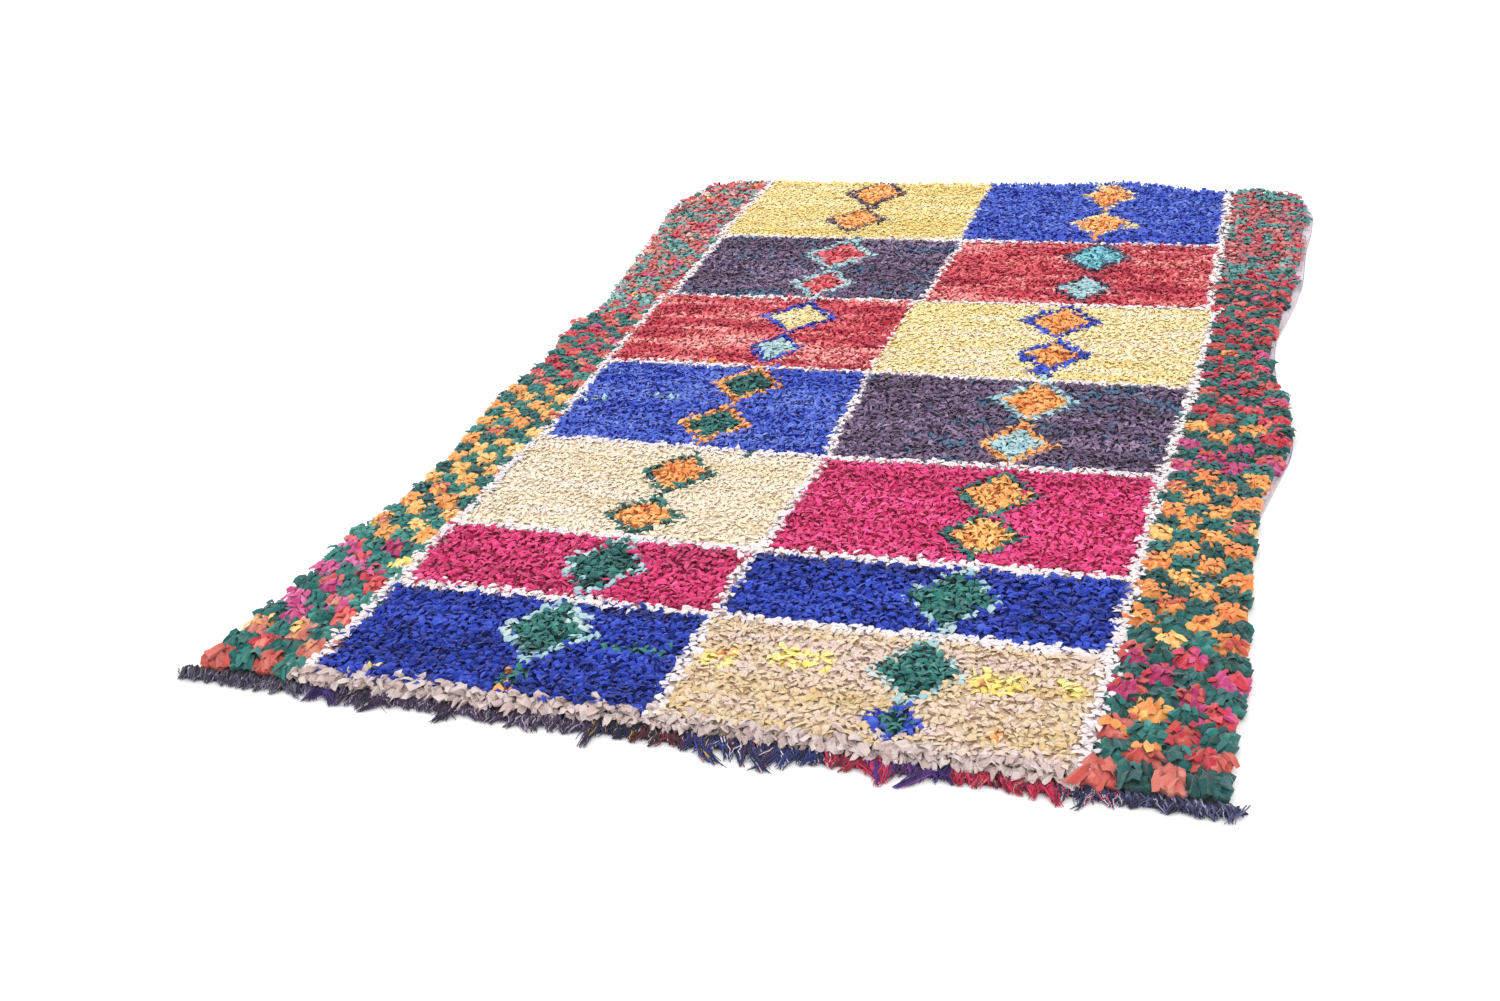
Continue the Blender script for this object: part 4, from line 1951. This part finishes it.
    def build(self) -> None:
        """Builds the band, its wraps and the fringe, a piece of fringe for each stretch of yarns."""
        rng = np.random.default_rng(self.seed)
        core = self.core()
        locks = np.sort(np.linspace(-0.812, 0.782, self.locks) + rng.normal(0, 0.007, self.locks))
        paths, root = self.strands(locks, rng)
        wraps, place = self.loops(rng)
        shade = rng.random(root.size + place.size)
        radius = self.strand_radius * rng.lognormal(0, 0.22, shade.size) * np.where(shade > 0.84, 0.62, 1.0)
        radius[root.size :] *= 1.35
        paths = np.concatenate([paths, wraps])
        root = np.concatenate([root, place])
        points = tubes(paths, radius, 3)
        points[..., 2] = np.maximum(points[..., 2], 0.0005)
        self.pieces = [core]
        start = -9.0
        for zone in YARN_ZONES:
            mine = (root >= start) & (root < zone.until)
            material = YarnFinish(zone.name, zone.yarns).make()
            made = make_strips(f"fringe_{zone.name}", points[mine], shade[mine], material, 80.0)
            self.pieces.append(made)
            LOG.info("%s: %d strands", made.name, int(mine.sum()))
            start = zone.until
        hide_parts("fringed_end_band")


@dataclass
class Selvedges:
    """The two woven edges: a pale ribbed strip, bare down the right side, and a dark outer cord."""

    outline: Outline
    rib: float = 0.0052
    cord: float = 0.0013

    def ribbon(self, edge: Array, bare: Array, along: Array, side: int) -> Array:
        """Works out the rings of the ribbed strip.

        Args:
            edge: The outer edge, across, at places along.
            bare: How much of the edge is bare there.
            along: Those places.
            side: -1 for the left edge and 1 for the right one.

        Returns:
            The rings, (1, places, points round, 3).
        """
        inner = edge - side * (bare + 0.010)
        middle, half = (edge + inner) / 2, np.abs(edge - inner) / 2
        swell = 1 + 0.14 * np.sin(along * 2 * np.pi / self.rib)
        angle = facets(8)
        x = middle[:, None] + half[:, None] * np.clip(np.cos(angle) * 1.15, -1, 1)[None]
        z = 0.0028 + 0.0022 * np.clip(np.sin(angle) * 1.2, -1, 1)[None] * swell[:, None]
        y = np.broadcast_to(along[:, None], x.shape)
        return np.stack([x, y, z], -1)[None]

    def build(self) -> list[Object]:
        """Builds both edges.

        Returns:
            The strips and their cords.
        """
        pale_stops = ((0.0, "#CFC6D2"), (0.4, "#E2DAE0"), (0.8, "#C4B4C0"))
        dark_stops = ((0.0, "#6B5866"), (0.5, "#7F6C7A"), (0.85, "#594854"))
        pale = YarnFinish("pale_wool_selvedge", pale_stops, sheen=0.2).make()
        dark = YarnFinish("plum_wool_cord", dark_stops).make()
        pieces = []
        along = np.linspace(0.002, 2.30, 300)
        shade = np.array([0.2])
        for side, name in ((-1, "left"), (1, "right")):
            if side < 0:
                edge, bare = self.outline.left_edge(along) + 0.008, np.zeros_like(along)
            else:
                bare = self.outline.bare(along)
                edge = self.outline.right_edge(along) - 0.008 * (1 - np.clip(bare / 0.010, 0, 1))
            strip = self.ribbon(edge, bare, along, side)
            pieces.append(make_strips(f"{name}_selvedge", strip, shade, pale, 70.0))
            path = np.stack([edge, along, np.full_like(along, 0.0028)], -1)[None]
            cord = tubes(path, np.array([self.cord]), 5)
            pieces.append(make_strips(f"{name}_selvedge_cord", cord, shade, dark, 70.0))
        for piece in pieces:
            LOG.info("%s: %d faces", piece.name, len(piece.data.polygons))
        return pieces


@dataclass(frozen=True)
class Studio:
    """Plain pale floor, soft light and the camera at the photo's angle."""

    lens: float = 37.94
    place: tuple[float, float, float] = (0.855, -1.622, 1.355)
    turn: tuple[float, float, float] = (1.0656, 0.1056, 0.3386)

    def floor(self) -> None:
        """A large pale floor, matt and even."""
        bpy.ops.mesh.primitive_plane_add(size=30.0)
        plane = bpy.context.active_object
        plane.name = "studio_floor"
        material = bpy.data.materials.new("matt_white_paper")
        material.use_nodes = True
        shader = material.node_tree.nodes["Principled BSDF"]
        looks = {"Base Color": linear("#F8F8F8"), "Roughness": 0.95, "Specular IOR Level": 0.1}
        feed(material.node_tree, shader, looks)
        plane.data.materials.append(material)
        plane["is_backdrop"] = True

    def light(self, name: str, place: tuple[float, float, float], size: float, power: float) -> None:
        """Adds a soft square light that looks at the rug's middle.

        Args:
            name: Its name.
            place: Where it stands.
            size: Its width, in metres.
            power: Its power, in watts.
        """
        lamp = bpy.data.lights.new(name, "AREA")
        lamp.size, lamp.energy = size, power
        holder = add_object(name, lamp)
        holder.location = place
        aim = -Vector(place)
        holder.rotation_euler = aim.to_track_quat("-Z", "Y").to_euler()

    def camera(self) -> None:
        """The camera, solved from the photo's panel lines."""
        data = bpy.data.cameras.new("camera")
        data.lens, data.sensor_width, data.sensor_fit = self.lens, 36.0, "HORIZONTAL"
        data.clip_end = 60.0
        holder = add_object("camera", data)
        holder.location = Vector(self.place) + Vector(MOVE)
        holder.rotation_euler = Euler(self.turn, "XYZ")
        bpy.context.scene.camera = holder

    def build(self) -> None:
        """Sets up the floor, the lights, the sky and the camera."""
        self.floor()
        self.light("key", (-1.0, 2.6, 2.6), 2.6, 55.0)
        self.light("fill", (1.6, -2.4, 3.2), 3.0, 40.0)
        world = bpy.data.worlds.new("studio")
        world.use_nodes = True
        sky = world.node_tree.nodes["Background"]
        sky.inputs["Color"].default_value = linear("#FFFFFF")
        sky.inputs["Strength"].default_value = 1.14
        bpy.context.scene.world = world
        self.camera()
        bpy.context.scene.view_settings.view_transform = "Standard"


def main() -> None:
    """Builds and dresses the rug, then the studio round it."""
    logging.basicConfig(level=logging.INFO, format="%(message)s")
    outline, pattern, dresser = Outline(), FieldPattern(), Dresser()
    build_pile(outline, pattern, dresser)
    borders = lay_borders(outline, pattern)
    build_borders(borders, dresser)
    line = NearLine(pattern).knot()
    dresser.make("near_line", line, 5, Cut.RUFFLE, Cloth.BLUSH, 300)
    ground = GroundCloth(outline, pattern, borders).build()
    band = EndBand()
    band.build()
    edges = Selvedges(outline).build()
    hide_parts("rug_pile")
    Studio().build()
    total = sum(len(p.data.loops) - 2 * len(p.data.polygons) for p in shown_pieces() if p.type == "MESH")
    LOG.info("all pieces: %d triangles", total)


if __name__ == "__main__":
    main()
